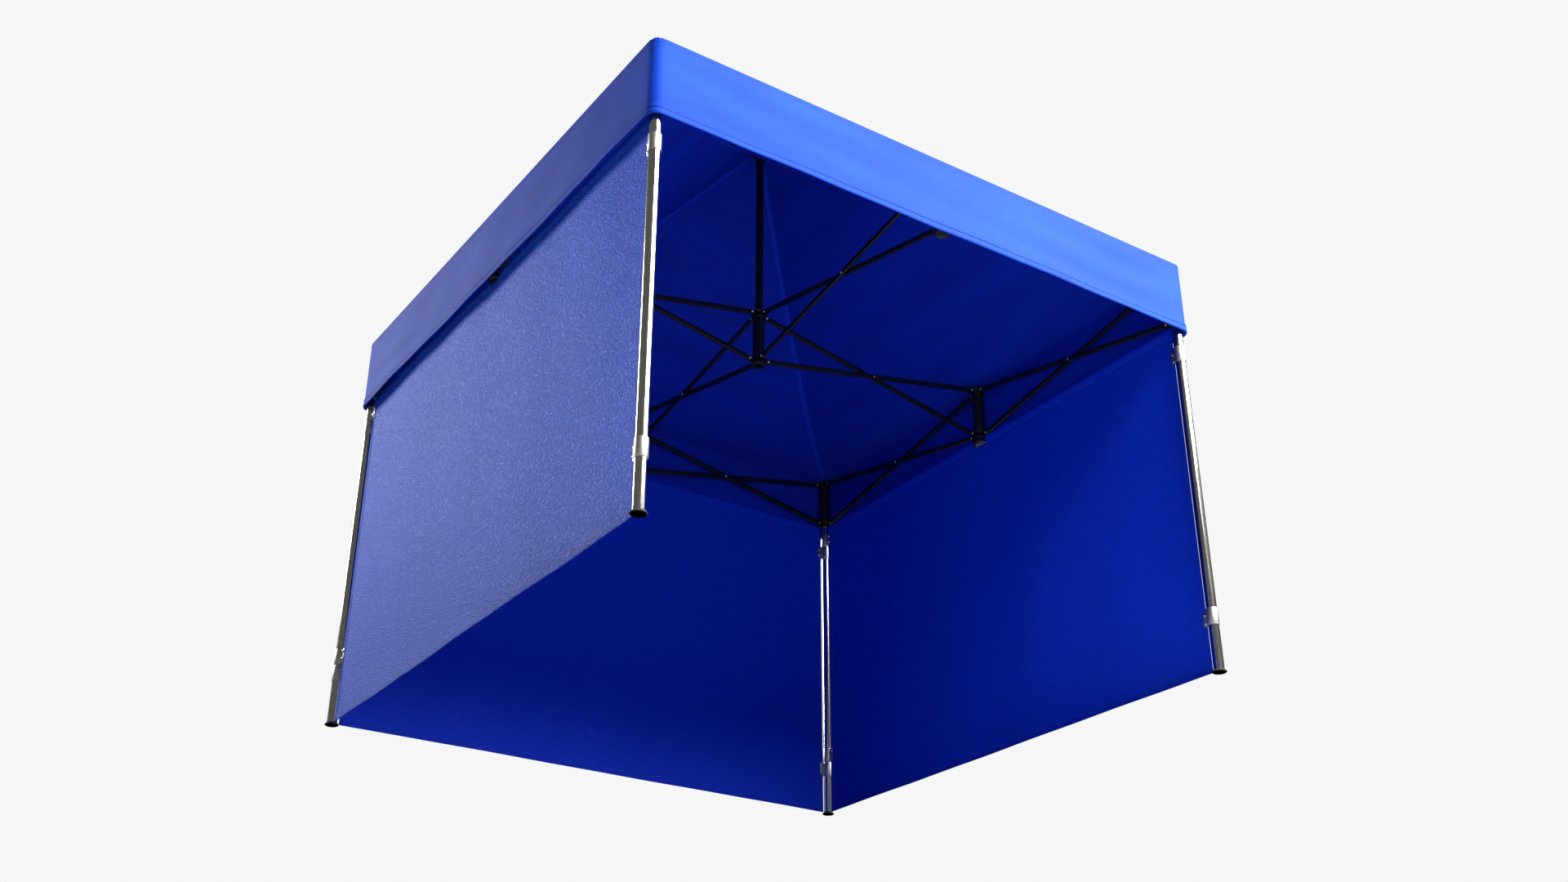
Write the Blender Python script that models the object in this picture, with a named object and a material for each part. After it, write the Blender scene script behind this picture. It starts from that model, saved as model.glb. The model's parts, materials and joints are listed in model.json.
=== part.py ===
"""Pop up gazebo: a scissor frame on four legs, a swept canopy and three side walls.

Metres, +Z up. The open side faces -Y and the feet stand on Z = 0. Every joint has an empty on its
axis, and the empties are parented as the joints are.
"""

import math

import bmesh
import bpy
from mathutils import Matrix, Vector

# Canopy
CANOPY_WIDTH = 3.000
EAVE_HEIGHT = 2.087
PEAK_RISE = 0.983
VALANCE_DROP = 0.377
CORNER_RADIUS = 0.050
CANOPY_SHEET = 0.0015
ROOF_SWEEP = 1.75
PEAK_ROUNDING = 0.03

# Legs and feet. The eave overhangs the legs' axes
EAVE_OVERHANG = 0.045
LEG_DIAMETER = 0.048
LEG_WALL = 0.0014
FOOT_LIP = 0.009
FOOT_SOLE = 0.006
FOOT_HEIGHT = 0.012

# Scissor bars: rectangular tube, standing on edge
TRUSS_DEPTH = 0.265
TRUSS_DROP = 0.038
BAR_DEPTH = 0.025
BAR_THICKNESS = 0.014
BAR_WALL = 0.0012

# Hubs, their forks and the posts between them. A hub's wall stands round the leg's bore
HUB_WALL = 0.0097
HUB_HALF = 0.022
POST_STEP = 0.004
POST_WALL = 0.003
FORK_PLATE = 0.003
FORK_REACH = 0.011
FORK_HALF = 0.013
PIN_DIAMETER = 0.008
HEAD_DIAMETER = 0.014
HEAD_THICKNESS = 0.0025
LOWER_CAP_LIP = 0.003
LOWER_CAP_DROP = 0.058

# Centre pole
POLE_DIAMETER = 0.040
POLE_WALL = 0.0015
POLE_CAP_DIAMETER = 0.064
POLE_CAP_DEPTH = 0.050

# Pull pins of the sliders
PULL_PIN_DIAMETER = 0.006
PULL_KNOB_DIAMETER = 0.014
PULL_KNOB_LENGTH = 0.016

# Side walls and the clamps that hold them to the legs
WALL_SHEET = 0.0015
WALL_BOTTOM = 0.008
CLAMP_BAND = 0.0027
CLAMP_HEIGHT = 0.078
CLAMP_PLATE = 0.005
CLAMP_LAP = 0.018
LOW_CLAMP = 0.257

# Clearances
GAP = 0.0003
FORK_GAP = 0.0005
PIN_GAP = 0.0008
BAR_CLEARANCE = 0.002
PIVOT_CLEARANCE = 0.0035
WALL_CLEARANCE = 0.007
WALL_EDGE = 0.001
WALL_UNDER_HUB = 0.003
CLAMP_CLEARANCE = 0.004
CLAMP_EDGE = 0.044

# Facets round a circle
ROUND = 16
SMALL_ROUND = 6
HEX = 6

HALF_WIDTH = CANOPY_WIDTH / 2
LEG_AXIS = HALF_WIDTH - EAVE_OVERHANG
UPPER_Z = EAVE_HEIGHT - TRUSS_DROP
LOWER_Z = UPPER_Z - TRUSS_DEPTH
PEAK_HEIGHT = EAVE_HEIGHT + PEAK_RISE
LEG_RADIUS = LEG_DIAMETER / 2
LEG_BORE = LEG_RADIUS + GAP
HUB_RADIUS = LEG_BORE + HUB_WALL
POST_RADIUS = HUB_RADIUS - POST_STEP
POST_BORE = POST_RADIUS + GAP
LOWER_CAP_RADIUS = HUB_RADIUS + LOWER_CAP_LIP
PIVOT_OFFSET = HUB_RADIUS + BAR_DEPTH / 2 + PIVOT_CLEARANCE
SPAN = LEG_AXIS - 2 * PIVOT_OFFSET
BAR_LENGTH = math.hypot(SPAN, TRUSS_DEPTH)
BAR_TILT = math.atan2(TRUSS_DEPTH, SPAN)
BAR_SPACING = BAR_THICKNESS + BAR_CLEARANCE
BAR_SIDE = BAR_SPACING / 2
FORK_FACE = BAR_SIDE + BAR_THICKNESS / 2 + FORK_GAP + FORK_PLATE
KNOB_RADIUS = PULL_KNOB_DIAMETER / 2
KNOB_FACE = max(HUB_RADIUS + GAP, math.sqrt(2) * (FORK_FACE + GAP) + KNOB_RADIUS)
POLE_RADIUS = POLE_DIAMETER / 2
POLE_BORE = POLE_RADIUS + GAP
POLE_FOOT = LOWER_Z - HUB_HALF - 0.010
POLE_TOP = PEAK_HEIGHT - CANOPY_SHEET - 0.016
WALL_END_GAP = LEG_RADIUS + FOOT_LIP + WALL_EDGE
WALL_TOP = LOWER_Z - HUB_HALF - WALL_UNDER_HUB
WALL_NOTCH = LOWER_Z - LOWER_CAP_DROP - WALL_CLEARANCE
CLAMP_STACK = CLAMP_HEIGHT + CLAMP_CLEARANCE
HIGH_CLAMP = WALL_TOP - CLAMP_EDGE - CLAMP_STACK - CLAMP_HEIGHT / 2
UP = Vector((0, 0, 1))

# Each side by its quarter turn from +X, and each corner by its quarter turn from the front left
SIDES = {"right": 0, "back": 1, "left": 2, "front": 3}
CORNERS = {"front_left": 0, "front_right": 1, "back_right": 2, "back_left": 3}

places = {}


def turned(x, y, quarter):
    """The point (x, y) after this many quarter turns about Z."""
    for _ in range(quarter % 4):
        x, y = -y, x
    return Vector((x, y, 0))


# ---------------------------------------------------------------- scene and materials


def clear_scene():
    for obj in list(bpy.data.objects):
        bpy.data.objects.remove(obj)


def finish(name, colour, roughness, metallic=0.0):
    material = bpy.data.materials.new(name)
    material.use_nodes = True
    shader = material.node_tree.nodes["Principled BSDF"]
    shader.inputs["Base Color"].default_value = (*colour, 1)
    shader.inputs["Roughness"].default_value = roughness
    shader.inputs["Metallic"].default_value = metallic
    return material


def pivot(name, point, parent=None):
    """An empty on a joint's axis. Nothing is turned at rest, so a child's offset is a difference."""
    empty = bpy.data.objects.new("pivot_" + name, None)
    empty.empty_display_size = 0.05
    bpy.context.scene.collection.objects.link(empty)
    empty.location = point - (places[parent.name] if parent else Vector())
    empty.parent = parent
    places[empty.name] = point
    return empty


def place(name, mesh, body, point, turn=0.0, tilt=0.0):
    """One named sub-part, set at a world point under its body's pivot."""
    obj = bpy.data.objects.new(name, mesh)
    bpy.context.scene.collection.objects.link(obj)
    obj.parent = body
    obj.location = point - places[body.name]
    obj.rotation_euler = (0, tilt, turn)
    return obj


# ---------------------------------------------------------------- solids


def helper(bm):
    """A working object for a Boolean."""
    mesh = bpy.data.meshes.new("working")
    bmesh.ops.recalc_face_normals(bm, faces=bm.faces)
    bm.to_mesh(mesh)
    bm.free()
    obj = bpy.data.objects.new("working", mesh)
    obj.hide_render = True
    bpy.context.scene.collection.objects.link(obj)
    return obj


def lathe(outline, facets=ROUND):
    """Spins (radius, height) points about Z. An outline from axis to axis closes on the axis."""
    bm = bmesh.new()
    verts = [bm.verts.new((radius, 0, height)) for radius, height in outline]
    ends = zip(verts, verts[1:] + verts[:1])
    on_axis = outline[0][0] == 0 and outline[-1][0] == 0
    edges = [bm.edges.new(pair) for pair in list(ends)[: -1 if on_axis else None]]
    bmesh.ops.spin(
        bm, geom=verts + edges, axis=UP, cent=(0, 0, 0), angle=math.tau, steps=facets
    )
    bmesh.ops.remove_doubles(bm, verts=bm.verts, dist=1e-6)
    return helper(bm)


def block(low, high, matrix=None):
    bm = bmesh.new()
    low, high = Vector(low), Vector(high)
    bmesh.ops.create_cube(bm, size=1)
    bmesh.ops.scale(bm, vec=high - low, verts=bm.verts)
    bmesh.ops.translate(bm, vec=(low + high) / 2, verts=bm.verts)
    if matrix:
        bmesh.ops.transform(bm, matrix=matrix, verts=bm.verts)
    return helper(bm)


def rod(radius, start, end, facets=SMALL_ROUND):
    """A cylinder between two points."""
    bm = bmesh.new()
    start, end = Vector(start), Vector(end)
    aim = (end - start).to_track_quat("Z", "Y").to_matrix().to_4x4()
    bmesh.ops.create_cone(
        bm,
        segments=facets,
        radius1=radius,
        radius2=radius,
        depth=(end - start).length,
        cap_ends=True,
        matrix=Matrix.Translation((start + end) / 2) @ aim,
    )
    return helper(bm)


def combine(base, others, operation):
    """Joins or cuts each helper into the base, then removes the helpers."""
    for other in others:
        boolean = base.modifiers.new("combine", "BOOLEAN")
        boolean.object = other
        boolean.operation = operation
        boolean.solver = "EXACT"
    graph = bpy.context.evaluated_depsgraph_get()
    mesh = bpy.data.meshes.new_from_object(base.evaluated_get(graph))
    base.modifiers.clear()
    base.data = mesh
    for other in others:
        bpy.data.objects.remove(other)
    return base


def join(base, others):
    return combine(base, others, "UNION")


def cut(base, others):
    return combine(base, others, "DIFFERENCE")


def done(working, material):
    """The working object's mesh, with its material, ready to be placed."""
    mesh = working.data
    mesh.materials.clear()
    mesh.materials.append(material)
    bpy.data.objects.remove(working)
    return mesh


# ---------------------------------------------------------------- scissor bars


def bar_blank():
    """The outside of a bar: a flat strip along +X with round ends, BAR_THICKNESS wide in Y."""
    bm = bmesh.new()
    radius = BAR_DEPTH / 2
    steps = [math.pi * i / 4 for i in range(5)]
    near = [(-radius * math.sin(a), radius * math.cos(a)) for a in steps]
    far = [(BAR_LENGTH + radius * math.sin(a), -radius * math.cos(a)) for a in steps]
    verts = [bm.verts.new((x, -BAR_THICKNESS / 2, z)) for x, z in near + far]
    face = bm.faces.new(verts)
    grown = bmesh.ops.extrude_face_region(bm, geom=[face])["geom"]
    moved = [item for item in grown if isinstance(item, bmesh.types.BMVert)]
    bmesh.ops.translate(bm, vec=(0, BAR_THICKNESS, 0), verts=moved)
    return helper(bm)


def cross_hole(x):
    radius = PIN_DIAMETER / 2 + PIN_GAP
    return rod(radius, (x, -BAR_THICKNESS, 0), (x, BAR_THICKNESS, 0))


def bar(riveted):
    """A bar with a pivot hole at each end. Its middle has the rivet, or the hole for it."""
    half = BAR_THICKNESS / 2
    inside = block(
        (-BAR_DEPTH, -half + BAR_WALL, -BAR_DEPTH / 2 + BAR_WALL),
        (BAR_LENGTH + BAR_DEPTH, half - BAR_WALL, BAR_DEPTH / 2 - BAR_WALL),
    )
    holes = [cross_hole(0), cross_hole(BAR_LENGTH)]
    middle = BAR_LENGTH / 2
    if not riveted:
        return cut(bar_blank(), [inside, *holes, cross_hole(middle)])
    far = -BAR_SPACING - half - GAP
    shaft = rod(PIN_DIAMETER / 2, (middle, half, 0), (middle, far - 0.0005, 0), HEX)
    near_head = rod(
        HEAD_DIAMETER / 2, (middle, half - 0.0005, 0), (middle, half + HEAD_THICKNESS, 0), HEX
    )
    far_head = rod(
        HEAD_DIAMETER / 2, (middle, far, 0), (middle, far - HEAD_THICKNESS, 0), HEX
    )
    return join(cut(bar_blank(), [inside, *holes]), [shaft, near_head, far_head])


# ---------------------------------------------------------------- hubs


def fork(quarter, side, height=0.0):
    """Two plates and a cross pin that hold a bar's end, as helpers to join to a hub.

    The fork points along +X after its quarter turns, and the bar lies side metres to its left.
    """
    turn = Matrix.Rotation(math.tau * quarter / 4, 4, "Z")
    inner = BAR_THICKNESS / 2 + FORK_GAP
    outer = inner + FORK_PLATE
    tip = PIVOT_OFFSET + FORK_REACH
    parts = []
    for sign in (-1, 1):
        edges = sorted((side + sign * inner, side + sign * outer))
        low = (HUB_RADIUS / 2, edges[0], height - FORK_HALF)
        high = (tip, edges[1], height + FORK_HALF)
        parts.append(block(low, high, turn))
        face = side + sign * (outer - 0.0005)
        end = side + sign * (outer + HEAD_THICKNESS)
        root = turn @ Vector((PIVOT_OFFSET, face, height))
        top = turn @ Vector((PIVOT_OFFSET, end, height))
        parts.append(rod(HEAD_DIAMETER / 2, root, top, HEX))
    left = turn @ Vector((PIVOT_OFFSET, side - outer + 0.001, height))
    right = turn @ Vector((PIVOT_OFFSET, side + outer - 0.001, height))
    parts.append(rod(PIN_DIAMETER / 2, left, right, HEX))
    return parts


def hub(outline, forks, bore=None):
    """A turned hub with forks as (quarter turn, side). bore is (radius, from, to), cut last."""
    base = lathe(outline)
    base = join(base, [part for quarter, side in forks for part in fork(quarter, side)])
    if bore:
        radius, low, high = bore
        base = cut(base, [lathe([(0, low), (radius, low), (radius, high), (0, high)])])
    return base


def centre_upper_hub():
    outline = [(0, -HUB_HALF), (HUB_RADIUS, -HUB_HALF), (HUB_RADIUS, HUB_HALF), (0, HUB_HALF)]
    forks = [(quarter, BAR_SIDE) for quarter in range(4)]
    return hub(outline, forks, (POLE_BORE, -0.1, 0.1))


def centre_lower_hub():
    """The lower hub, with the bottom flange and the sleeve that reaches up to the upper hub."""
    flange = LOWER_CAP_RADIUS
    bottom = -HUB_HALF - 0.012
    top = TRUSS_DEPTH - HUB_HALF - FORK_GAP
    outline = [
        (0, bottom),
        (flange, bottom),
        (flange, -HUB_HALF),
        (HUB_RADIUS, -HUB_HALF),
        (HUB_RADIUS, HUB_HALF),
        (POST_RADIUS, HUB_HALF),
        (POST_RADIUS, top),
        (0, top),
    ]
    forks = [(quarter, -BAR_SIDE) for quarter in range(4)]
    return hub(outline, forks, (POLE_BORE, -0.1, TRUSS_DEPTH))


def mid_upper_hub():
    """The hub in the middle of a side, with its hollow post. Its own -X faces the centre."""
    post_inner = POST_RADIUS - POST_WALL
    bottom = -TRUSS_DEPTH - HUB_HALF + 0.004
    outline = [
        (0, HUB_HALF - 0.004),
        (post_inner, HUB_HALF - 0.004),
        (post_inner, bottom),
        (POST_RADIUS, bottom),
        (POST_RADIUS, -HUB_HALF),
        (HUB_RADIUS, -HUB_HALF),
        (HUB_RADIUS, HUB_HALF),
        (0, HUB_HALF),
    ]
    return hub(outline, [(2, BAR_SIDE), (1, -BAR_SIDE), (3, -BAR_SIDE)])


def mid_lower_hub():
    """The cup that the post seats in, with a deep round cap below."""
    cap = LOWER_CAP_RADIUS
    outline = [
        (0, -LOWER_CAP_DROP),
        (cap - 0.006, -LOWER_CAP_DROP),
        (cap, -LOWER_CAP_DROP + 0.006),
        (cap, -HUB_HALF),
        (HUB_RADIUS + GAP, -HUB_HALF),
        (HUB_RADIUS + GAP, HUB_HALF),
        (0, HUB_HALF),
    ]
    forks = [(2, -BAR_SIDE), (1, BAR_SIDE), (3, BAR_SIDE)]
    return hub(outline, forks, (POST_BORE, -HUB_HALF + 0.0035, 0.1))


def leg_top_bracket():
    """The cap on a leg, with the sleeve that stops the slider. Forks point along +X and +Y."""
    bottom = -TRUSS_DEPTH + HUB_HALF + FORK_GAP
    outline = [
        (0, bottom),
        (POST_RADIUS, bottom),
        (POST_RADIUS, -HUB_HALF),
        (HUB_RADIUS, -HUB_HALF),
        (HUB_RADIUS, HUB_HALF),
        (0, HUB_HALF),
    ]
    forks = [(0, -BAR_SIDE), (1, -BAR_SIDE)]
    return hub(outline, forks, (LEG_BORE, -TRUSS_DEPTH, HUB_HALF - 0.003))


def diagonal(distance):
    """A point this far out from the leg's axis, towards the inside of the gazebo."""
    return Vector((distance, distance, 0)) / math.sqrt(2)


def slider():
    """The hub that runs on a leg, with the radial hole of its pull pin."""
    outline = [
        (0, -HUB_HALF + 0.002),
        (HUB_RADIUS, -HUB_HALF + 0.002),
        (HUB_RADIUS, HUB_HALF),
        (0, HUB_HALF),
    ]
    forks = [(0, BAR_SIDE), (1, BAR_SIDE)]
    body = hub(outline, forks, (LEG_BORE, -0.1, 0.1))
    radius = PULL_PIN_DIAMETER / 2 + GAP
    return cut(body, [rod(radius, diagonal(0.010), diagonal(0.050))])


def pull_pin():
    """A knob on a short shaft. Its nose stops just clear of the leg."""
    nose = LEG_BORE + GAP
    shaft = rod(PULL_PIN_DIAMETER / 2, diagonal(nose), diagonal(KNOB_FACE + 0.001))
    knob = rod(KNOB_RADIUS, diagonal(KNOB_FACE), diagonal(KNOB_FACE + PULL_KNOB_LENGTH))
    return join(shaft, [knob])


# ---------------------------------------------------------------- legs, feet and pole


def tube(radius, wall, low, high):
    inner = radius - wall
    return lathe([(inner, low), (radius, low), (radius, high), (inner, high)])


def leg():
    """The leg's tube, with the hole that the pull pin locks in."""
    body = tube(
        LEG_RADIUS, LEG_WALL, FOOT_SOLE + GAP, UPPER_Z + HUB_HALF - 0.003 - GAP
    )
    hole = rod(
        PULL_PIN_DIAMETER / 2 + GAP, diagonal(0.010), diagonal(0.040)
    )
    hole.location.z = LOWER_Z
    return cut(body, [hole])


def foot():
    sole = LEG_RADIUS + FOOT_LIP
    socket = LEG_BORE + 0.003
    return lathe(
        [
            (0, 0),
            (sole, 0),
            (sole, FOOT_SOLE),
            (socket, FOOT_SOLE + 0.002),
            (socket, FOOT_HEIGHT),
            (LEG_BORE, FOOT_HEIGHT),
            (LEG_BORE, FOOT_SOLE),
            (0, FOOT_SOLE),
        ]
    )


def pole_cap():
    """The round cap that lifts the peak of the canopy. Its origin is the pole's top."""
    outer = POLE_CAP_DIAMETER / 2
    skirt = POLE_BORE + 0.003
    return lathe(
        [
            (0, GAP),
            (POLE_BORE, GAP),
            (POLE_BORE, -POLE_CAP_DEPTH),
            (skirt, -POLE_CAP_DEPTH),
            (skirt, -0.022),
            (outer, -0.016),
            (outer * 0.80, -0.004),
            (outer * 0.45, 0.004),
            (0, 0.006),
        ]
    )


# ---------------------------------------------------------------- canopy and walls


def roof_height(share):
    """The height at this share of the way from the peak, 0, to the eave, 1."""
    soft = math.sqrt(share**2 + PEAK_ROUNDING**2) - PEAK_ROUNDING
    soft = soft / (math.sqrt(1 + PEAK_ROUNDING**2) - PEAK_ROUNDING)
    return EAVE_HEIGHT + PEAK_RISE * (1 - soft) ** ROOF_SWEEP


def ring(share, height, side_steps=4, corner_steps=3):
    """Points round a square with rounded corners, anticlockwise from the +X side."""
    half = HALF_WIDTH * share
    radius = CORNER_RADIUS * share
    flat = half - radius
    points = []
    for quarter in range(4):
        for i in range(side_steps):
            y = -flat + 2 * flat * i / side_steps
            points.append(turned(half, y, quarter) + height * UP)
        for i in range(corner_steps):
            angle = math.pi / 2 * i / corner_steps
            x = flat + radius * math.cos(angle)
            y = flat + radius * math.sin(angle)
            points.append(turned(x, y, quarter) + height * UP)
    return points


def canopy_sheet():
    """The outer face of the roof and its valance, one open sheet that the Solidify closes."""
    shares = [1.0, 0.85, 0.7, 0.55, 0.42, 0.3, 0.2, 0.12, 0.06, 0.025]
    rings = [ring(1.0, EAVE_HEIGHT - VALANCE_DROP)]
    rings += [ring(share, roof_height(share)) for share in shares]
    bm = bmesh.new()
    rows = [[bm.verts.new(point) for point in points] for points in rings]
    for lower, upper in zip(rows, rows[1:]):
        for i in range(len(lower)):
            j = (i + 1) % len(lower)
            bm.faces.new((lower[i], lower[j], upper[j], upper[i]))
    peak = bm.verts.new((0, 0, PEAK_HEIGHT))
    for i in range(len(rows[-1])):
        bm.faces.new((rows[-1][i], rows[-1][(i + 1) % len(rows[-1])], peak))
    return helper(bm)


def clamp_parts(y, height):
    """A clamp's band and plate for a wall that faces +X, and the cutter of its bore."""
    sign = math.copysign(1, y)
    low, high = height - CLAMP_HEIGHT / 2, height + CLAMP_HEIGHT / 2
    outer = LEG_BORE + CLAMP_BAND
    band = lathe([(0, low), (outer, low), (outer, high), (0, high)])
    bore = lathe([(0, low - 0.01), (LEG_BORE, low - 0.01), (LEG_BORE, high + 0.01), (0, high + 0.01)])
    for obj in (band, bore):
        obj.location = (LEG_AXIS, y, 0)
    ends = sorted((y - sign * 0.5 * outer, y - sign * (WALL_END_GAP + CLAMP_LAP)))
    plate = block(
        (LEG_AXIS - CLAMP_PLATE / 2, ends[0], low + 0.004),
        (LEG_AXIS + CLAMP_PLATE / 2, ends[1], high - 0.004),
    )
    return [band, plate], bore


def wall(clamps):
    """A wall panel that faces +X, with the clamps at (which end, height) joined on.

    It hangs in the plane of the legs, right under the bars, and is notched round the hub's cap.
    """
    reach = LEG_AXIS - WALL_END_GAP
    panel = block(
        (LEG_AXIS - WALL_SHEET / 2, -reach, WALL_BOTTOM),
        (LEG_AXIS + WALL_SHEET / 2, reach, WALL_TOP),
    )
    notch = LOWER_CAP_RADIUS + WALL_CLEARANCE
    opening = block(
        (LEG_AXIS - WALL_SHEET, -notch, WALL_NOTCH), (LEG_AXIS + WALL_SHEET, notch, WALL_TOP + WALL_SHEET)
    )
    panel = cut(panel, [opening])
    parts, bores = [], []
    for end, height in clamps:
        pieces, bore = clamp_parts(end * LEG_AXIS, height)
        parts += pieces
        bores.append(bore)
    return cut(join(panel, parts), bores)


def wall_clamps(side):
    """(end, height) of a wall's four clamps. At a back leg, a side wall's go above the back wall's."""
    raised = {"right": {1}, "left": {-1}, "back": set()}[side]
    return [
        (end, base + (CLAMP_STACK if end in raised else 0))
        for end in (-1, 1)
        for base in (LOW_CLAMP, HIGH_CLAMP)
    ]


# ---------------------------------------------------------------- assembly


def lay_bar(name, mesh, body, start, quarter, falling):
    """A bar from a pivot point, outward along its quarter turn, and its left or right lane."""
    lane = BAR_SIDE if mesh["riveted"] else -BAR_SIDE
    tilt = BAR_TILT if falling else -BAR_TILT
    side = turned(0, lane, quarter)
    return place(name, mesh, body, start + side, math.tau * quarter / 4, tilt)


def bar_meshes(material):
    meshes = []
    for riveted in (True, False):
        mesh = done(bar(riveted), material)
        mesh["riveted"] = riveted
        meshes.append(mesh)
    return meshes


def corner_of(side, end):
    """The corner at one end of a side: end is 1 on the left as seen from the centre, or -1."""
    across = SIDES[side] + end
    words = {quarter % 4: word for word, quarter in SIDES.items()}
    other = words[across % 4]
    pair = (side, other) if side in ("front", "back") else (other, side)
    return "_".join(pair), other


def assemble():
    """Builds the frame outwards from the upper centre hub, one body at a time."""
    black = finish("black_frame", (0.012, 0.012, 0.013), 0.45, 0.6)
    plastic = finish("black_bracket", (0.01, 0.01, 0.011), 0.5)
    chrome = finish("polished_steel", (0.62, 0.62, 0.63), 0.12, 1.0)
    rubber = finish("rubber", (0.03, 0.03, 0.032), 0.8)
    canvas = finish("canopy_fabric", (0.02, 0.05, 0.35), 0.8)
    curtain = finish("wall_fabric", (0.02, 0.04, 0.3), 0.8)

    riveted, plain = bar_meshes(black)
    centre_upper = done(centre_upper_hub(), plastic)
    centre_lower = done(centre_lower_hub(), plastic)
    mid_upper = done(mid_upper_hub(), plastic)
    mid_lower = done(mid_lower_hub(), plastic)
    bracket = done(leg_top_bracket(), plastic)
    slide_hub = done(slider(), plastic)
    pin = done(pull_pin(), plastic)
    leg_tube = done(leg(), chrome)
    foot_cup = done(foot(), rubber)

    root = pivot("root", Vector())
    place("centre_upper_hub", centre_upper, root, UPPER_Z * UP)
    pole = pivot("centre_pole", UPPER_Z * UP, root)
    place("centre_pole", done(tube(POLE_RADIUS, POLE_WALL, POLE_FOOT, POLE_TOP), black), pole, Vector())
    place("pole_cap", done(pole_cap(), plastic), pole, (POLE_TOP + GAP) * UP)

    for side, quarter in SIDES.items():
        turn = math.tau * quarter / 4
        near_up = turned(PIVOT_OFFSET, 0, quarter) + UPPER_Z * UP
        near_low = turned(PIVOT_OFFSET, 0, quarter) + LOWER_Z * UP
        far_up = turned(PIVOT_OFFSET + SPAN, 0, quarter) + UPPER_Z * UP
        far_low = turned(PIVOT_OFFSET + SPAN, 0, quarter) + LOWER_Z * UP
        post_axis = turned(LEG_AXIS, 0, quarter)

        falling = pivot("inner_bar_falling_" + side, near_up, root)
        lay_bar("inner_bar_falling_" + side, riveted, falling, near_up, quarter, True)
        rising = pivot("inner_bar_rising_" + side, (near_up + far_low) / 2, falling)
        lay_bar("inner_bar_rising_" + side, plain, rising, near_low, quarter, False)
        lower = pivot("mid_lower_hub_" + side, far_low, falling)
        place("mid_lower_hub_" + side, mid_lower, lower, post_axis + LOWER_Z * UP, turn)
        upper = pivot("mid_upper_hub_" + side, far_up, rising)
        place("mid_upper_hub_" + side, mid_upper, upper, post_axis + UPPER_Z * UP, turn)
        if side == "front":
            centre = pivot("centre_lower_hub", near_low, rising)
            place("centre_lower_hub", centre_lower, centre, LOWER_Z * UP)

        for end in (1, -1):
            corner, other = corner_of(side, end)
            along = quarter + end
            name = side + "_" + other
            start = post_axis + turned(PIVOT_OFFSET, 0, along)
            finish_at = post_axis + turned(PIVOT_OFFSET + SPAN, 0, along)
            climb = pivot("side_bar_rising_" + name, start + LOWER_Z * UP, lower)
            lay_bar("side_bar_rising_" + name, riveted, climb, start + LOWER_Z * UP, along, False)
            drop = pivot("side_bar_falling_" + name, start + UPPER_Z * UP, upper)
            lay_bar("side_bar_falling_" + name, plain, drop, start + UPPER_Z * UP, along, True)
            if side not in ("front", "back"):
                continue
            leg_turn = math.tau * CORNERS[corner] / 4
            axis = turned(-LEG_AXIS, -LEG_AXIS, CORNERS[corner])
            leg_body = pivot("leg_" + corner, finish_at + UPPER_Z * UP, climb)
            place("leg_" + corner, leg_tube, leg_body, axis, leg_turn)
            place("foot_" + corner, foot_cup, leg_body, axis, leg_turn)
            place("leg_bracket_" + corner, bracket, leg_body, axis + UPPER_Z * UP, leg_turn)
            slider_body = pivot("slider_" + corner, finish_at + LOWER_Z * UP, drop)
            place("slider_" + corner, slide_hub, slider_body, axis + LOWER_Z * UP, leg_turn)
            pin_body = pivot("pull_pin_" + corner, axis + LOWER_Z * UP, slider_body)
            place("pull_pin_" + corner, pin, pin_body, axis + LOWER_Z * UP, leg_turn)

    sheet = place("canopy", done(canopy_sheet(), canvas), root, Vector())
    thick = sheet.modifiers.new("sheet thickness", "SOLIDIFY")
    thick.thickness = CANOPY_SHEET
    thick.offset = -1
    thick.use_even_offset = True
    for side in ("left", "right", "back"):
        mesh = done(wall(wall_clamps(side)), curtain)
        place("wall_" + side, mesh, root, Vector(), math.tau * SIDES[side] / 4)


clear_scene()
assemble()
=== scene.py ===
# %% [markdown]
# # A pop up gazebo
#
# A pop up gazebo is a folding shelter: a scissor truss of black steel bars opens between four
# polished legs and pulls a fabric roof tight. This one has a swept square roof with a deep valance,
# and walls on three sides. The solids of the CAD model give every place and size. This notebook
# builds the surfaces that are seen, and each one moves with the CAD body that it belongs to.

# %% Start from the CAD model
import json
import math

import bmesh
import bpy
import numpy as np
from mathutils import Matrix, Vector

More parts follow.
